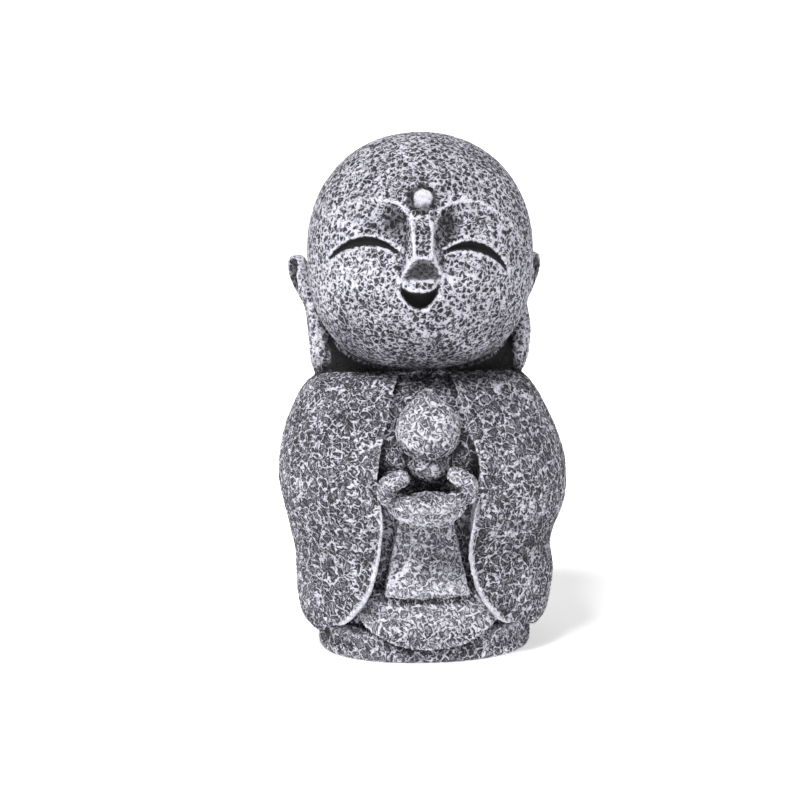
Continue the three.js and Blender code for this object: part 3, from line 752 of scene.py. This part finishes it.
for name, (half_span, up, sag, reach, thick) in FINGER_ROWS.items():
    turn = np.radians(FINGER_TURN * np.linspace(-1, 1, 13))
    forward = FINGER_BACK + (reach - FINGER_BACK) * np.cos(turn)
    line = hand_points(np.stack([half_span * np.sin(turn), forward, up - sag * np.cos(turn)], -1))
    parts.append(rod(name, line, (0, 0, 1), share([thick, thick]), share([thick, thick]), columns=40, rows=120))
for name, (side, tip) in THUMB_TIPS.items():
    line = hand_points(np.array([THUMB_ROOT, THUMB_BEND, tip]) * np.array([side, 1, 1]))
    parts.append(rod(name, line, (1, 0, 0), THUMB_HALF_THICKNESS, THUMB_HALF_THICKNESS, columns=40, rows=70))
print("fingers and thumbs on, forms:", len(parts))

# %% Palm, inner fingers and the jewel's seat
HAND_BALLS = {
    "palm": ((7.4, 5.2, 2.4), (0, 20.6, 26.0)),
    "inner_fingers": ((4.4, 1.9, 1.3), (0.4, 22.3, 28.6)),
    "jewel_seat": ((4.6, 3.4, 4.0), (0.5, 20.4, 35.2)),
}
for name, (radii, at) in HAND_BALLS.items():
    parts.append(closed_skin(name, ball_grid(share(radii)) + hand_points([at])[0]))
print("all forms:", len(parts))

# %% [markdown]
# ## One skin
# A casting has no joins: the mould's forms run into each other with a small fillet. A voxel remesh wraps everything
# in one skin of even squares half a millimetre wide and drops whatever is buried inside. A little smoothing then
# melts the joins, as slip or resin does in a mould.

# %% Fuse the forms
SKIN_STEP = 0.5

points, faces, offset = [], [], 0
for part in parts:
    points.append(points_of(part.data))
    faces.append(triangles_of(part.data) + offset)
    offset += len(part.data.vertices)
    bpy.data.objects.remove(part)
statue = new_piece("jizo_casting", np.concatenate(points), np.concatenate(faces).tolist())
remesh = statue.modifiers.new("one skin", "REMESH")
remesh.mode = "VOXEL"
remesh.voxel_size = SKIN_STEP * MM
skin = keep_result(statue)
print("one skin of", len(skin.polygons), "squares")

# %% Smoothing over the net of edges
MELT_STEPS = 3


def spread(values, edges, times):
    """Moves each point's value halfway to the mean of its neighbours, again and again."""
    count = np.bincount(edges.ravel(), minlength=len(values))[:, None]
    for _ in range(times):
        total = np.stack([
            np.bincount(edges[:, 0], values[edges[:, 1], k], len(values))
            + np.bincount(edges[:, 1], values[edges[:, 0], k], len(values))
            for k in range(values.shape[1])
        ], -1)
        values = (values + total / count) / 2
    return values


edges = np.empty(len(skin.edges) * 2, np.int32)
skin.edges.foreach_get("vertices", edges)
edges = edges.reshape(-1, 2)
melted = spread(points_of(skin).astype(float) / MM, edges, MELT_STEPS)
melted[:, 2] = np.clip(melted[:, 2], 0, None)
skin.vertices.foreach_set("co", (melted * MM).ravel().astype(np.float32))
skin.update()
print("melted", len(melted), "points")

# %% [markdown]
# ## Hollows and edges
# Wash collects in hollows and the brush catches edges, and the hollows also take painted shade, so the finish needs
# to know which is which. Smoothed over a few millimetres, the skin moves outwards where it was hollow and inwards
# where it was an edge. The step along the normal is the measure, taken once for small forms and once for large
# ones.

# %% Measure hollows and edges
SMALL_STEPS = 14
LARGE_STEPS = 110
# Steps along the normal, in millimetres, that count as a full hollow of small and of large form, and a full edge.
SMALL_HOLLOW = 0.35
LARGE_HOLLOW = 1.3
FULL_EDGE = 0.22

normals = np.empty(len(skin.vertices) * 3, np.float32)
skin.vertex_normals.foreach_get("vector", normals)
normals = normals.reshape(-1, 3).astype(float)
near = spread(melted, edges, SMALL_STEPS)
wide = spread(near, edges, LARGE_STEPS)
small_form = np.einsum("ij,ij->i", near - melted, normals)
large_form = np.einsum("ij,ij->i", wide - near, normals)
hollow = np.clip(small_form / SMALL_HOLLOW, 0, 1) * 0.6 + np.clip(large_form / LARGE_HOLLOW, 0, 1) * 0.7
edge = np.clip(-small_form / FULL_EDGE, 0, 1)
print("hollow", round(float(hollow.mean()), 3), "edge", round(float(edge.mean()), 3))

# %% [markdown]
# ## Where the finish changes
# The skin is worked finely on the head and coarsely on the robe. Some places are rubbed smooth and pale: the mark
# on the brow, the jewel, the hands, the rims and the raised lines of the face. One cheek, on the side the light
# comes from, is painted paler as a painted highlight, and the mouth's floor takes a painted pool of light. Others
# are
# painted dark as painted shade: inside the eyes and the mouth, which the brush never reached and which are painted
# near black, under the nose, in the ears, and in the gap behind the jaw. Each is a mask worked out from the same
# formulas as the forms.

# %% The head's finer working
# How far out of the egg a point may be and still be the head, at its edge, on the face and on the nose.
EGG_EDGE = (1.025, 1.055)
FACE_ROOM = 0.06
NOSE_ROOM = 0.16
# How far forward of the head's middle the front half, the face and the nose start, in millimetres.
FRONT_START = 5
FACE_START = 12
NOSE_START = 20
# Where the ears take over from the robe: millimetres out, and hundredths up.
EARS_OUT = (33, 36)
EARS_UP = (51, 54)
EAR_FINENESS = 0.75

x, y, z = melted.T
hx, hy, hz = ((melted - HEAD_CENTRE) @ TURN_AND_TIP).T
by_nose = (hy < -NOSE_START) & (hz > face(-20)) & (np.abs(hx) < face(NOSE_REACH))
room = FACE_ROOM * (hy < -FACE_START) + NOSE_ROOM * by_nose
on_head = 1 - smooth_step(egg_measure(hx, hy, hz, 1) - room, *EGG_EDGE)
on_ears = smooth_step(np.abs(x), *EARS_OUT) * smooth_step(z, *level(EARS_UP))
fine = np.maximum(on_head, on_ears * EAR_FINENESS)
in_front = (hy < -FRONT_START) & (on_head > 0.5)
print("points on the head", int((on_head > 0.5).sum()))


# %% Masks on the face
def on_face(values):
    """The values on the front of the head, and 0 elsewhere."""
    return np.where(in_front, values, 0)


def face_patch(at, half):
    """1 in the middle of an oval patch of the face, falling softly to 0: exp(-dx^2 - dy^2)."""
    across, up = (hx - face(at[0])) / face(half[0]), (hz - face(at[1])) / face(half[1])
    return on_face(np.exp(-(across**2) - up**2))


def face_lines(lines, width):
    """1 on any of the face's lines, falling as exp(-(d/w)^2) to the sides."""
    return on_face(sum(bell(distance_to_line(hx, hz, face(line)), width) for line in lines))


eyes_deep = np.maximum(*(slit(hx, hz, eye) for eye in EYES))
mouth_deep = slit(hx, hz, MOUTH)
# Painted shade: inside the slits is painted near black, darker than the unbrushed wash.
in_slits = on_face(np.maximum(smooth_step(eyes_deep, 0.0, 0.6), smooth_step(mouth_deep, 0.0, 0.7)))
# Painted light: the lower part of the mouth's slit is painted paler, a painted pool of light on its floor.
mouth_floor_light = on_face(smooth_step(mouth_deep, 0.0, 0.5) * smooth_step(-hz, face(20.5), face(25)))
lid_line = on_face(bell(eyes_deep + 0.4, 0.35) + bell(mouth_deep + 0.4, 0.4))
# The brows are rubbed bright beside the nose and faintly over the eyes. Each line's last five points are beside it.
outer_brows = face_lines([line[:-4] for line in BROW_LINES], 0.8)
brow_line = outer_brows * 0.35 + face_lines([line[-5:] for line in BROW_LINES], 0.7)
nose_line = face_lines(LIP_AND_NOSE_LINES, LINE_HALF_WIDTH)
# Painted highlight: the cheek on the viewer's left, where the light comes from, is painted paler.
lit_cheek_highlight = face_patch((-29, -11), (11, 6.5))
# Painted shade: the sockets beside the nose's root are painted darker, most on the viewer's right, away from the
# light.
inner_sockets = 0.6 * face_patch((-13, 9), (7, 8)) + face_patch((10.5, 6), (4.5, 9))
print("slit points", int((in_slits > 0.5).sum()))

# %% The round mark and the nose's underside
# The nose's underside is painted darker as painted shade. The underside's heights, and how far it reaches to each
# side there.
UNDERSIDE_HEIGHTS = (-14.4, -5.6)
UNDERSIDE_REACH = (9.2, 3.4)

mark_distance = np.hypot(hx - face(MARK[0]), hz - face(MARK[1])) / face(MARK[2])
on_mark = on_face(1 - smooth_step(mark_distance, 0.85, 1.1))
round_mark = on_face(bell(mark_distance - 1.2, 0.22))
side_room = np.interp(hz, face(UNDERSIDE_HEIGHTS), face(UNDERSIDE_REACH)) - np.abs(hx - face(NOSE_X))
below_tip = smooth_step(-hz, face(5.4), face(6.4)) * (hz > face(UNDERSIDE_HEIGHTS[0]))
# Painted shade: the mask darkens the nose's underside.
under_nose = on_face(smooth_step(side_room, -0.2, 0.8) * below_tip)
print("mark points", int((on_mark > 0.5).sum()), "under the nose", int((under_nose > 0.5).sum()))

# %% Painted shade behind the jaw and in the ears
# The gap behind the jaw, painted dark as painted shade: it ends this far out, starts above this height, runs
# between a front and a back, and leaves out the shoulders' tops, whose normals point up.
GAP_OUT = (34, 36)
GAP_UP = (51, 52)
GAP_FRONT = -23
GAP_BACK = 10
SHOULDER_UPWARD = (0.5, 0.85)

in_gap = (1 - smooth_step(np.abs(x), *GAP_OUT)) * smooth_step(z, *level(GAP_UP)) * (y > GAP_FRONT) * (y < GAP_BACK)
shade_behind_jaw = (1 - on_head) * in_gap * (1 - smooth_step(normals[:, 2], *SHOULDER_UPWARD))
# Painted shade: the ears' hollows are painted darker.
ear_hollows = 0
for middle, out, along in hollows:
    off = melted - middle
    oval = np.hypot((off @ along) / HOLLOW_RADII[1], off[:, 2] / HOLLOW_RADII[2])
    ear_hollows = ear_hollows + (1 - smooth_step(oval, 0.6, 1.0)) * (np.abs(off @ out) < share(HOLLOW_OUT))
print("points behind the jaw", int((shade_behind_jaw > 0.5).sum()), "in the ears", int((ear_hollows > 0.5).sum()))

# %% Masks on the jewel, the hands and the robe
# In hundredths: the jewel's fading edge, the hands' lower and upper ends, how far forward they start and how far
# they reach out, and the lap's upper end and front.
JEWEL_EDGE = (6.9, 7.6)
HANDS_LOW = (23, 25)
HANDS_HIGH = (34, 36)
HANDS_START = 22
HANDS_REACH = 11
LAP_HIGH = (26, 28)
LAP_START = 9
RIM_WIDTH = 1.3

on_jewel = 1 - smooth_step(np.linalg.norm(melted - JEWEL_MIDDLE, axis=1), *share(JEWEL_EDGE))
on_hands = smooth_step(z, *level(HANDS_LOW)) * (1 - smooth_step(z, *level(HANDS_HIGH)))
on_hands = on_hands * (y < -share(HANDS_START)) * (np.abs(x) < share(HANDS_REACH))
edge_z = level(edge_height)[::-1]
inside_left = x + share(np.interp(z, edge_z, left_reach[::-1]))
inside_right = share(np.interp(z, edge_z, right_reach[::-1])) - x
in_lap = smooth_step(np.minimum(inside_left, inside_right), 0, 2) * (1 - smooth_step(z, *level(LAP_HIGH)))
in_lap = in_lap * (y < -share(LAP_START)) * smooth_step(z, PLINTH_HEIGHT - 8, PLINTH_HEIGHT - 4)
on_rim = sum(bell(distance_to_line(x, z, line), RIM_WIDTH) for line in rim_lines)
on_rim = np.where(y < -share(LAP_START), np.clip(on_rim, 0, 1), 0)
print("jewel points", int((on_jewel > 0.5).sum()), "rim points", int((on_rim > 0.5).sum()))

# %% Brushing, painted light and shade, and relief
# How much more of the pale coat each place takes, or less, and the painted light and shade: a little darker where
# the skin faces up, painted shade where it faces down, in hollows (with the wash), under the nose, by its root, in
# the slits, the ears and behind the jaw, and painted highlights on one cheek and the mouth's floor.
BRUSH_AND_PAINTED_LIGHT = [
    (-0.1, np.clip(normals[:, 2], 0, 1)), (-0.35, np.clip(-normals[:, 2], 0, 1)), (0.7, edge),
    (-0.7, hollow * (1 - under_nose)), (0.3, on_rim), (0.2, on_jewel), (0.05, on_mark), (-0.5, round_mark),
    (-0.25, under_nose), (0.25, lit_cheek_highlight), (0.35, brow_line), (0.38, nose_line), (0.2, lid_line),
    (-0.38, inner_sockets), (-1.1, in_slits), (0.8, mouth_floor_light), (-1.6, shade_behind_jaw), (0.32, in_lap),
    (0.15, on_hands), (-0.4, ear_hollows), (-0.1, z < PLINTH_HEIGHT),
]
# What share of the relief each place loses.
RUBBED = [
    (0.5, fine), (0.35, on_jewel), (0.9, on_mark), (0.85, under_nose), (1, in_slits), (0.5, on_rim),
    (0.6, np.clip(brow_line + nose_line, 0, 1)), (0.4, np.clip(inner_sockets, 0, 1)),
]
# How far each place is a plain coat of paint, without the pattern's light and dark.
PLAIN = [
    (0.75, on_mark), (0.5, under_nose), (0.5, nose_line), (0.4, brow_line), (0.4, on_rim), (0.5, lid_line),
]
MOST_PLAIN = 0.75

brush_and_painted_light = sum(amount * mask for amount, mask in BRUSH_AND_PAINTED_LIGHT)
relief = np.prod([1 - amount * mask for amount, mask in RUBBED], axis=0) * smooth_step(z, 0.2, 3.0)
plain = np.clip(sum(amount * mask for amount, mask in PLAIN), 0, MOST_PLAIN)
for name, values in {"fine": fine, "brush_and_painted_light": brush_and_painted_light, "relief": relief, "plain": plain}.items():
    skin.attributes.new(name, "FLOAT", "POINT").data.foreach_set("value", values.astype(np.float32))
print("brushed from", round(float(brush_and_painted_light.min()), 2), "to", round(float(brush_and_painted_light.max()), 2))

# %% [markdown]
# ## The worked pattern
# The mould maker dabbed and scored the model, which leaves pits parted by thin crooked ridges. Voronoi cells have
# that look once noise has bent them: the distance to a cell's border is 0 on a ridge and grows into the pit. The
# same nodes go into a geometry tree, which moves the skin, and into the material, which paints it, so paint and
# relief agree.

# %% One function adds any node
TIMES = {"operation": "MULTIPLY"}
PLUS = {"operation": "ADD"}
MINUS = {"operation": "SUBTRACT"}
TIMES_PLUS = {"operation": "MULTIPLY_ADD"}
HIGHER = {"operation": "MAXIMUM"}
SCALED = {"operation": "SCALE"}
# A Map Range node's i1 to i4 are From Min, From Max, To Min and To Max.
SMOOTHLY = {"interpolation_type": "SMOOTHSTEP"}
BORDER = {"feature": "DISTANCE_TO_EDGE"}


def add_node(tree, kind, settings=None, **inputs):
    """Adds a node, sets its properties, and sets or links its inputs. An input goes by its name, with underscores
    for spaces, or by its place, such as i0. A node given for an input is linked by its first output."""
    node = tree.nodes.new(kind)
    for key, value in (settings or {}).items():
        setattr(node, key, value)
    for key, value in inputs.items():
        by_place = key[0] == "i" and key[1:].isdigit()
        socket = node.inputs[int(key[1:])] if by_place else node.inputs[key.replace("_", " ")]
        value = value.outputs[0] if isinstance(value, bpy.types.Node) else value
        if isinstance(value, bpy.types.NodeSocket):
            tree.links.new(value, socket)
        else:
            socket.default_value = value
    return node


# %% Bending the space
# Each bend is how far it moves a point and over what length it changes, in millimetres.
ROBE_BENDS = [(4.0, 5.0), (2.2, 1.6)]
HEAD_BENDS = [(1.6, 1.6)]


def bent_space(tree, position, bends):
    """The position moved by noise, once for each bend, so that straight cell borders turn crooked."""
    for far, length in bends:
        noise = add_node(
            tree, "ShaderNodeTexNoise", None, Vector=position, Scale=MM_PER_METRE / length, Detail=1.0
        ).outputs["Color"]
        off = add_node(tree, "ShaderNodeVectorMath", MINUS, i0=noise, i1=(0.5, 0.5, 0.5))
        moved = add_node(tree, "ShaderNodeVectorMath", SCALED, i0=off, Scale=far * MM)
        position = add_node(tree, "ShaderNodeVectorMath", PLUS, i0=position, i1=moved)
    return position


# %% The robe's pattern
# Lengths in millimetres: a cell of the net, a patch of proud or faint ridges, a lump on a cell's floor, and the
# turns of the lesser worms.
ROBE_CELL = 3.4
ROBE_PATCH = 3.0
FLOOR_LUMP = 2.2
WORM_TURN = 1.7
# The sleeves' strokes lean this way and are drawn out along it.
SLEEVE_LEAN = math.radians(24)
DRAWN_OUT = (1.15, 1.15, 0.7)


def robe_pattern(tree, position):
    """Ridges on the borders of cells that are drawn out down the sleeve. A groove runs along each ridge's foot and
    the cell's floor lies higher. A slow noise makes the ridges proud in some places and faint in others, and
    lesser worms run where a second noise passes one half. The highest of the three is the height."""
    bent = bent_space(tree, position, ROBE_BENDS)
    leaning = add_node(tree, "ShaderNodeVectorRotate", {"rotation_type": "Y_AXIS"}, Vector=bent, Angle=SLEEVE_LEAN)
    space = add_node(tree, "ShaderNodeVectorMath", TIMES, i0=leaning, i1=DRAWN_OUT)
    border = add_node(tree, "ShaderNodeTexVoronoi", BORDER, Vector=space, Scale=MM_PER_METRE / ROBE_CELL)

    slow = add_node(tree, "ShaderNodeTexNoise", None, Vector=position, Scale=MM_PER_METRE / ROBE_PATCH, Detail=1.0)
    strength = add_node(tree, "ShaderNodeMapRange", SMOOTHLY, Value=slow, i1=0.3, i2=0.62, i3=0.45, i4=1.0)
    crest = add_node(tree, "ShaderNodeMapRange", SMOOTHLY, Value=border, i1=0.0, i2=0.15, i3=1.0, i4=0.0)
    ridge = add_node(tree, "ShaderNodeMath", TIMES, i0=crest, i1=strength)

    lumps = add_node(tree, "ShaderNodeTexNoise", None, Vector=space, Scale=MM_PER_METRE / FLOOR_LUMP, Detail=1.0)
    raised = add_node(tree, "ShaderNodeMath", TIMES_PLUS, i0=lumps, i1=0.9, i2=-0.1)
    past_groove = add_node(tree, "ShaderNodeMapRange", SMOOTHLY, Value=border, i1=0.1, i2=0.28, i3=0.0, i4=1.0)
    bed = add_node(tree, "ShaderNodeMath", TIMES, i0=past_groove, i1=raised)

    turns = add_node(tree, "ShaderNodeTexNoise", None, Vector=space, Scale=MM_PER_METRE / WORM_TURN, Detail=0.0)
    from_half = add_node(tree, "ShaderNodeMath", MINUS, i0=turns, i1=0.5)
    off_half = add_node(tree, "ShaderNodeMath", {"operation": "ABSOLUTE"}, i0=from_half)
    worm = add_node(tree, "ShaderNodeMapRange", SMOOTHLY, Value=off_half, i1=0.0, i2=0.07, i3=0.62, i4=0.0)
    ridge_or_bed = add_node(tree, "ShaderNodeMath", HIGHER, i0=ridge, i1=bed)
    return add_node(tree, "ShaderNodeMath", HIGHER, i0=ridge_or_bed, i1=worm)


# %% The head's pattern
# Lengths in millimetres: a dab, a turn of the maze, a cell of the net, and a patch of its proud or faint ridges.
HEAD_CELL = 1.8
MAZE_TURN = 1.5
NET_CELL = 1.4 * HEAD_CELL
HEAD_PATCH = 2.4


def head_pattern(tree, position):
    """Small dabs, each a bowl with a ridge where two cells' points are nearly as near as each other, over a maze
    of higher and lower places that a noise cut near its half gives. A net of thin ridges crosses them all."""
    space = bent_space(tree, position, HEAD_BENDS)
    nearest, second = (
        add_node(tree, "ShaderNodeTexVoronoi", {"feature": which}, Vector=space, Scale=MM_PER_METRE / HEAD_CELL)
        for which in ("F1", "F2")
    )
    gap = add_node(tree, "ShaderNodeMath", MINUS, i0=second, i1=nearest)
    rim = add_node(tree, "ShaderNodeMapRange", SMOOTHLY, Value=gap, i1=0.0, i2=0.3, i3=0.15, i4=-0.15)
    dabs = add_node(tree, "ShaderNodeMath", TIMES_PLUS, i0=nearest, i1=0.39, i2=rim)

    turns = add_node(tree, "ShaderNodeTexNoise", None, Vector=space, Scale=MM_PER_METRE / MAZE_TURN, Detail=0.0)
    maze = add_node(tree, "ShaderNodeMapRange", SMOOTHLY, Value=turns, i1=0.42, i2=0.62, i3=0.0, i4=0.42)
    low = add_node(tree, "ShaderNodeMath", PLUS, i0=dabs, i1=maze)

    slow = add_node(tree, "ShaderNodeTexNoise", None, Vector=position, Scale=MM_PER_METRE / HEAD_PATCH, Detail=1.0)
    strength = add_node(tree, "ShaderNodeMapRange", SMOOTHLY, Value=slow, i1=0.3, i2=0.62, i3=0.4, i4=1.0)
    border = add_node(tree, "ShaderNodeTexVoronoi", BORDER, Vector=space, Scale=MM_PER_METRE / NET_CELL)
    crest = add_node(tree, "ShaderNodeMapRange", SMOOTHLY, Value=border, i1=0.0, i2=0.16, i3=1.0, i4=0.0)
    net = add_node(tree, "ShaderNodeMath", TIMES, i0=crest, i1=strength)
    return add_node(tree, "ShaderNodeMath", HIGHER, i0=low, i1=net)


# %% Both patterns and the crumbs
CRUMB = 0.8


def worked_pattern(tree, position, fine_mask):
    """Height from 0 in a pit to 1 on a ridge: the robe's pattern or the head's by the mask, and crumbs over both.
    The crumbs are half of a fine noise, less a quarter."""
    mixed = add_node(
        tree, "ShaderNodeMix", {"data_type": "FLOAT"},
        i0=fine_mask, i2=robe_pattern(tree, position), i3=head_pattern(tree, position),
    )
    grit = add_node(tree, "ShaderNodeTexNoise", None, Vector=position, Scale=MM_PER_METRE / CRUMB, Detail=2.0)
    crumbs = add_node(tree, "ShaderNodeMath", TIMES_PLUS, i0=grit, i1=0.5, i2=-0.25)
    return add_node(tree, "ShaderNodeMath", PLUS, i0=mixed, i1=crumbs)


# %% [markdown]
# Relief first. The geometry tree pushes each point inwards along its normal, by nothing on a ridge and by the
# relief's full depth in a pit, so the casting never grows past its solid. A second, slow noise makes the surface
# uneven.

# %% Cut the relief
RELIEF_DEPTH = 0.55
UNEVEN_DEPTH = 0.5
UNEVEN_LENGTH = 14.0

tree = bpy.data.node_groups.new("worked skin", "GeometryNodeTree")
tree.interface.new_socket("Geometry", in_out="INPUT", socket_type="NodeSocketGeometry")
tree.interface.new_socket("Geometry", in_out="OUTPUT", socket_type="NodeSocketGeometry")
group_in = add_node(tree, "NodeGroupInput")
position = add_node(tree, "GeometryNodeInputPosition")
normal = add_node(tree, "GeometryNodeInputNormal")
fine_mask = add_node(tree, "GeometryNodeInputNamedAttribute", {"data_type": "FLOAT"}, Name="fine")
relief_mask = add_node(tree, "GeometryNodeInputNamedAttribute", {"data_type": "FLOAT"}, Name="relief")
ridge = add_node(tree, "ShaderNodeClamp", None, Value=worked_pattern(tree, position, fine_mask), Min=0.0, Max=1.0)
pit = add_node(tree, "ShaderNodeMath", MINUS, i0=ridge, i1=1.0)
deep = add_node(tree, "ShaderNodeMath", TIMES, i0=pit, i1=RELIEF_DEPTH * MM)
slow = add_node(tree, "ShaderNodeTexNoise", None, Vector=position, Scale=MM_PER_METRE / UNEVEN_LENGTH, Detail=1.0)
uneven = add_node(tree, "ShaderNodeMath", TIMES, i0=slow, i1=-UNEVEN_DEPTH * MM)
both = add_node(tree, "ShaderNodeMath", PLUS, i0=deep, i1=uneven)
masked = add_node(tree, "ShaderNodeMath", TIMES, i0=both, i1=relief_mask)
offset = add_node(tree, "ShaderNodeVectorMath", SCALED, i0=normal, Scale=masked)
moved = add_node(tree, "GeometryNodeSetPosition", None, Geometry=group_in, Offset=offset)
add_node(tree, "NodeGroupOutput", None, Geometry=moved)
worked = statue.modifiers.new("worked skin", "NODES")
worked.node_group = tree
keep_result(statue)
print("relief cut with", len(tree.nodes), "nodes")

# %% [markdown]
# The skin now has far more squares than it needs where it is plain. Decimating keeps the small triangles on the
# ridges and merges the rest, down to a size that other programs can take.

# %% Thin the mesh
MOST_TRIANGLES = 192000

thin = statue.modifiers.new("thin", "DECIMATE")
thin.ratio = MOST_TRIANGLES / (2 * len(statue.data.polygons))
mesh = keep_result(statue)
mesh.shade_smooth()
mesh.calc_loop_triangles()
print("casting", len(mesh.loop_triangles), "triangles")

# %% [markdown]
# ## The finish
# Cast stone is matt: its roughness is near 0.9 and its gloss plain and low. Three colours make it: a near-black
# for the painted shade in the deepest places, a blue-grey wash over everything, and the pale coat on the ridges,
# which leans a little to lavender. A ramp turns one tone value into those colours. The tone is the pattern, shifted
# by how well the brush reached and by the painted light and shade, and patches a centimetre wide took a little more
# or less paint.

# %% Colours
# The near-black end is painted shade in the deepest places.
TONES = [
    (0.0, "#0a0a0b"), (0.12, "#252428"), (0.3, "#434248"), (0.5, "#72717a"), (0.72, "#bbbac6"), (0.9, "#d6d5df"),
    (1.0, "#dad9e3"),
]


def linear(hex_colour):
    """A linear colour from an sRGB hex value: (c / 12.92) below 0.04045, else ((c + 0.055) / 1.055)^2.4."""
    values = np.array([int(hex_colour[i:i + 2], 16) / 255 for i in (1, 3, 5)])
    curve = np.where(values <= 0.04045, values / 12.92, ((values + 0.055) / 1.055) ** 2.4)
    return (*curve.tolist(), 1.0)


# %% Paint: the tone of each place
BRUSH_PATCH = 11
PLAIN_CREST = 0.62

# Worked cast stone, washed and dry-brushed: a matt skin whose grain is drawn by light ridges over dark pits, with
# painted shade in its hollows and recesses and painted highlights on one cheek and the mouth's floor.
stone = bpy.data.materials.new("cast_stone_washed_brushed_with_painted_light")
stone.use_nodes = True
tree = stone.node_tree
position = add_node(tree, "ShaderNodeTexCoord").outputs["Object"]
masks = {
    name: add_node(tree, "ShaderNodeAttribute", {"attribute_name": name}).outputs["Fac"]
    for name in ("fine", "brush_and_painted_light", "relief", "plain")
}
ridge = worked_pattern(tree, position, masks["fine"])
patches = add_node(tree, "ShaderNodeTexNoise", None, Vector=position, Scale=MM_PER_METRE / BRUSH_PATCH, Detail=2.0)
uneven_brush = add_node(tree, "ShaderNodeMath", TIMES_PLUS, i0=patches, i1=0.6, i2=-0.3)
brush = add_node(tree, "ShaderNodeMath", PLUS, i0=masks["brush_and_painted_light"], i1=uneven_brush)
height = add_node(tree, "ShaderNodeMapRange", SMOOTHLY, Value=ridge, i1=0.08, i2=0.82, i3=0.0, i4=1.0)
crest = add_node(tree, "ShaderNodeMix", {"data_type": "FLOAT"}, i0=masks["plain"], i2=height, i3=PLAIN_CREST)
wash = add_node(tree, "ShaderNodeMath", TIMES_PLUS, i0=masks["fine"], i1=-0.03, i2=0.165)
in_pits = add_node(tree, "ShaderNodeMath", TIMES_PLUS, i0=brush, i1=0.55, i2=wash)
on_ridges = add_node(tree, "ShaderNodeMath", TIMES_PLUS, i0=brush, i1=0.25, i2=0.7)
tone = add_node(tree, "ShaderNodeMath", TIMES_PLUS, i0=crest, i1=on_ridges, i2=in_pits)
ramp = add_node(tree, "ShaderNodeValToRGB", None, Fac=tone)
(dark_at, dark), (light_at, light) = TONES[0], TONES[-1]
dark_end, light_end = ramp.color_ramp.elements
dark_end.position, dark_end.color = dark_at, linear(dark)
light_end.position, light_end.color = light_at, linear(light)
for at, colour in TONES[1:-1]:
    ramp.color_ramp.elements.new(at).color = linear(colour)
print("paint in", len(TONES), "tones")

# %% Skin: gloss and the finest relief
STONE_ROUGHNESS = 0.88
STONE_IOR = 1.5
BUMP_DEPTH = 0.9

surface = tree.nodes["Principled BSDF"]
tree.links.new(ramp.outputs["Color"], surface.inputs["Base Color"])
surface.inputs["Roughness"].default_value = STONE_ROUGHNESS
surface.inputs["IOR"].default_value = STONE_IOR
bump_share = add_node(tree, "ShaderNodeMath", TIMES_PLUS, i0=masks["relief"], i1=0.8, i2=0.2)
bumps = add_node(tree, "ShaderNodeMath", TIMES, i0=ridge, i1=bump_share)
bump = add_node(tree, "ShaderNodeBump", None, Height=bumps, Strength=1.0, Distance=BUMP_DEPTH * MM)
tree.links.new(bump.outputs["Normal"], surface.inputs["Normal"])
mesh.materials.clear()
mesh.materials.append(stone)
print("finish", stone.name, "with", len(tree.nodes), "nodes")

# %% The casting stands for the solid
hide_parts("jizo_statue")
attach(statue, "root")
print("casting stands for jizo_statue")

# %% [markdown]
# ## Floor and light
# The photograph is cut out on white. A wide pale floor seen from this low angle fills the whole picture, and takes
# a faint shadow: a little light of its own keeps the paper near white beside the statue. One large soft light
# stands high on the viewer's left, and a white sky fills in the rest.

# %% Floor
FLOOR_HALF = 12.0
PAPER_GLOW = 0.5

corners = np.array([(-1, -1, 0), (1, -1, 0), (1, 1, 0), (-1, 1, 0)]) * FLOOR_HALF
floor = new_piece("floor", corners, [(0, 1, 2, 3)])
# Matt white paper: no gloss, and an even white that the shadow hardly dulls.
paper = bpy.data.materials.new("white_paper_sweep")
paper.use_nodes = True
sheet = paper.node_tree.nodes["Principled BSDF"]
sheet.inputs["Base Color"].default_value = linear("#fafafa")
sheet.inputs["Roughness"].default_value = 1.0
sheet.inputs["Emission Color"].default_value = linear("#ffffff")
sheet.inputs["Emission Strength"].default_value = PAPER_GLOW
floor.data.materials.append(paper)
print("floor", 2 * FLOOR_HALF, "m wide")

# %% Light
WINDOW_STRENGTH = 3.3
WINDOW_SOFTNESS = math.radians(20)
WINDOW_DIRECTION = Vector((0.3, 0.5, -0.8))
SKY_STRENGTH = 0.34

window = bpy.data.objects.new("window", bpy.data.lights.new("window", "SUN"))
bpy.context.scene.collection.objects.link(window)
window.data.energy = WINDOW_STRENGTH
window.data.angle = WINDOW_SOFTNESS
window.rotation_euler = WINDOW_DIRECTION.to_track_quat("-Z", "Y").to_euler()
sky = bpy.data.worlds.new("white sky")
bpy.context.scene.world = sky
sky.use_nodes = True
sky.node_tree.nodes["Background"].inputs["Color"].default_value = (1, 1, 1, 1)
sky.node_tree.nodes["Background"].inputs["Strength"].default_value = SKY_STRENGTH
bpy.context.scene.view_settings.view_transform = "Standard"
print("window light", WINDOW_STRENGTH, "and sky", SKY_STRENGTH)
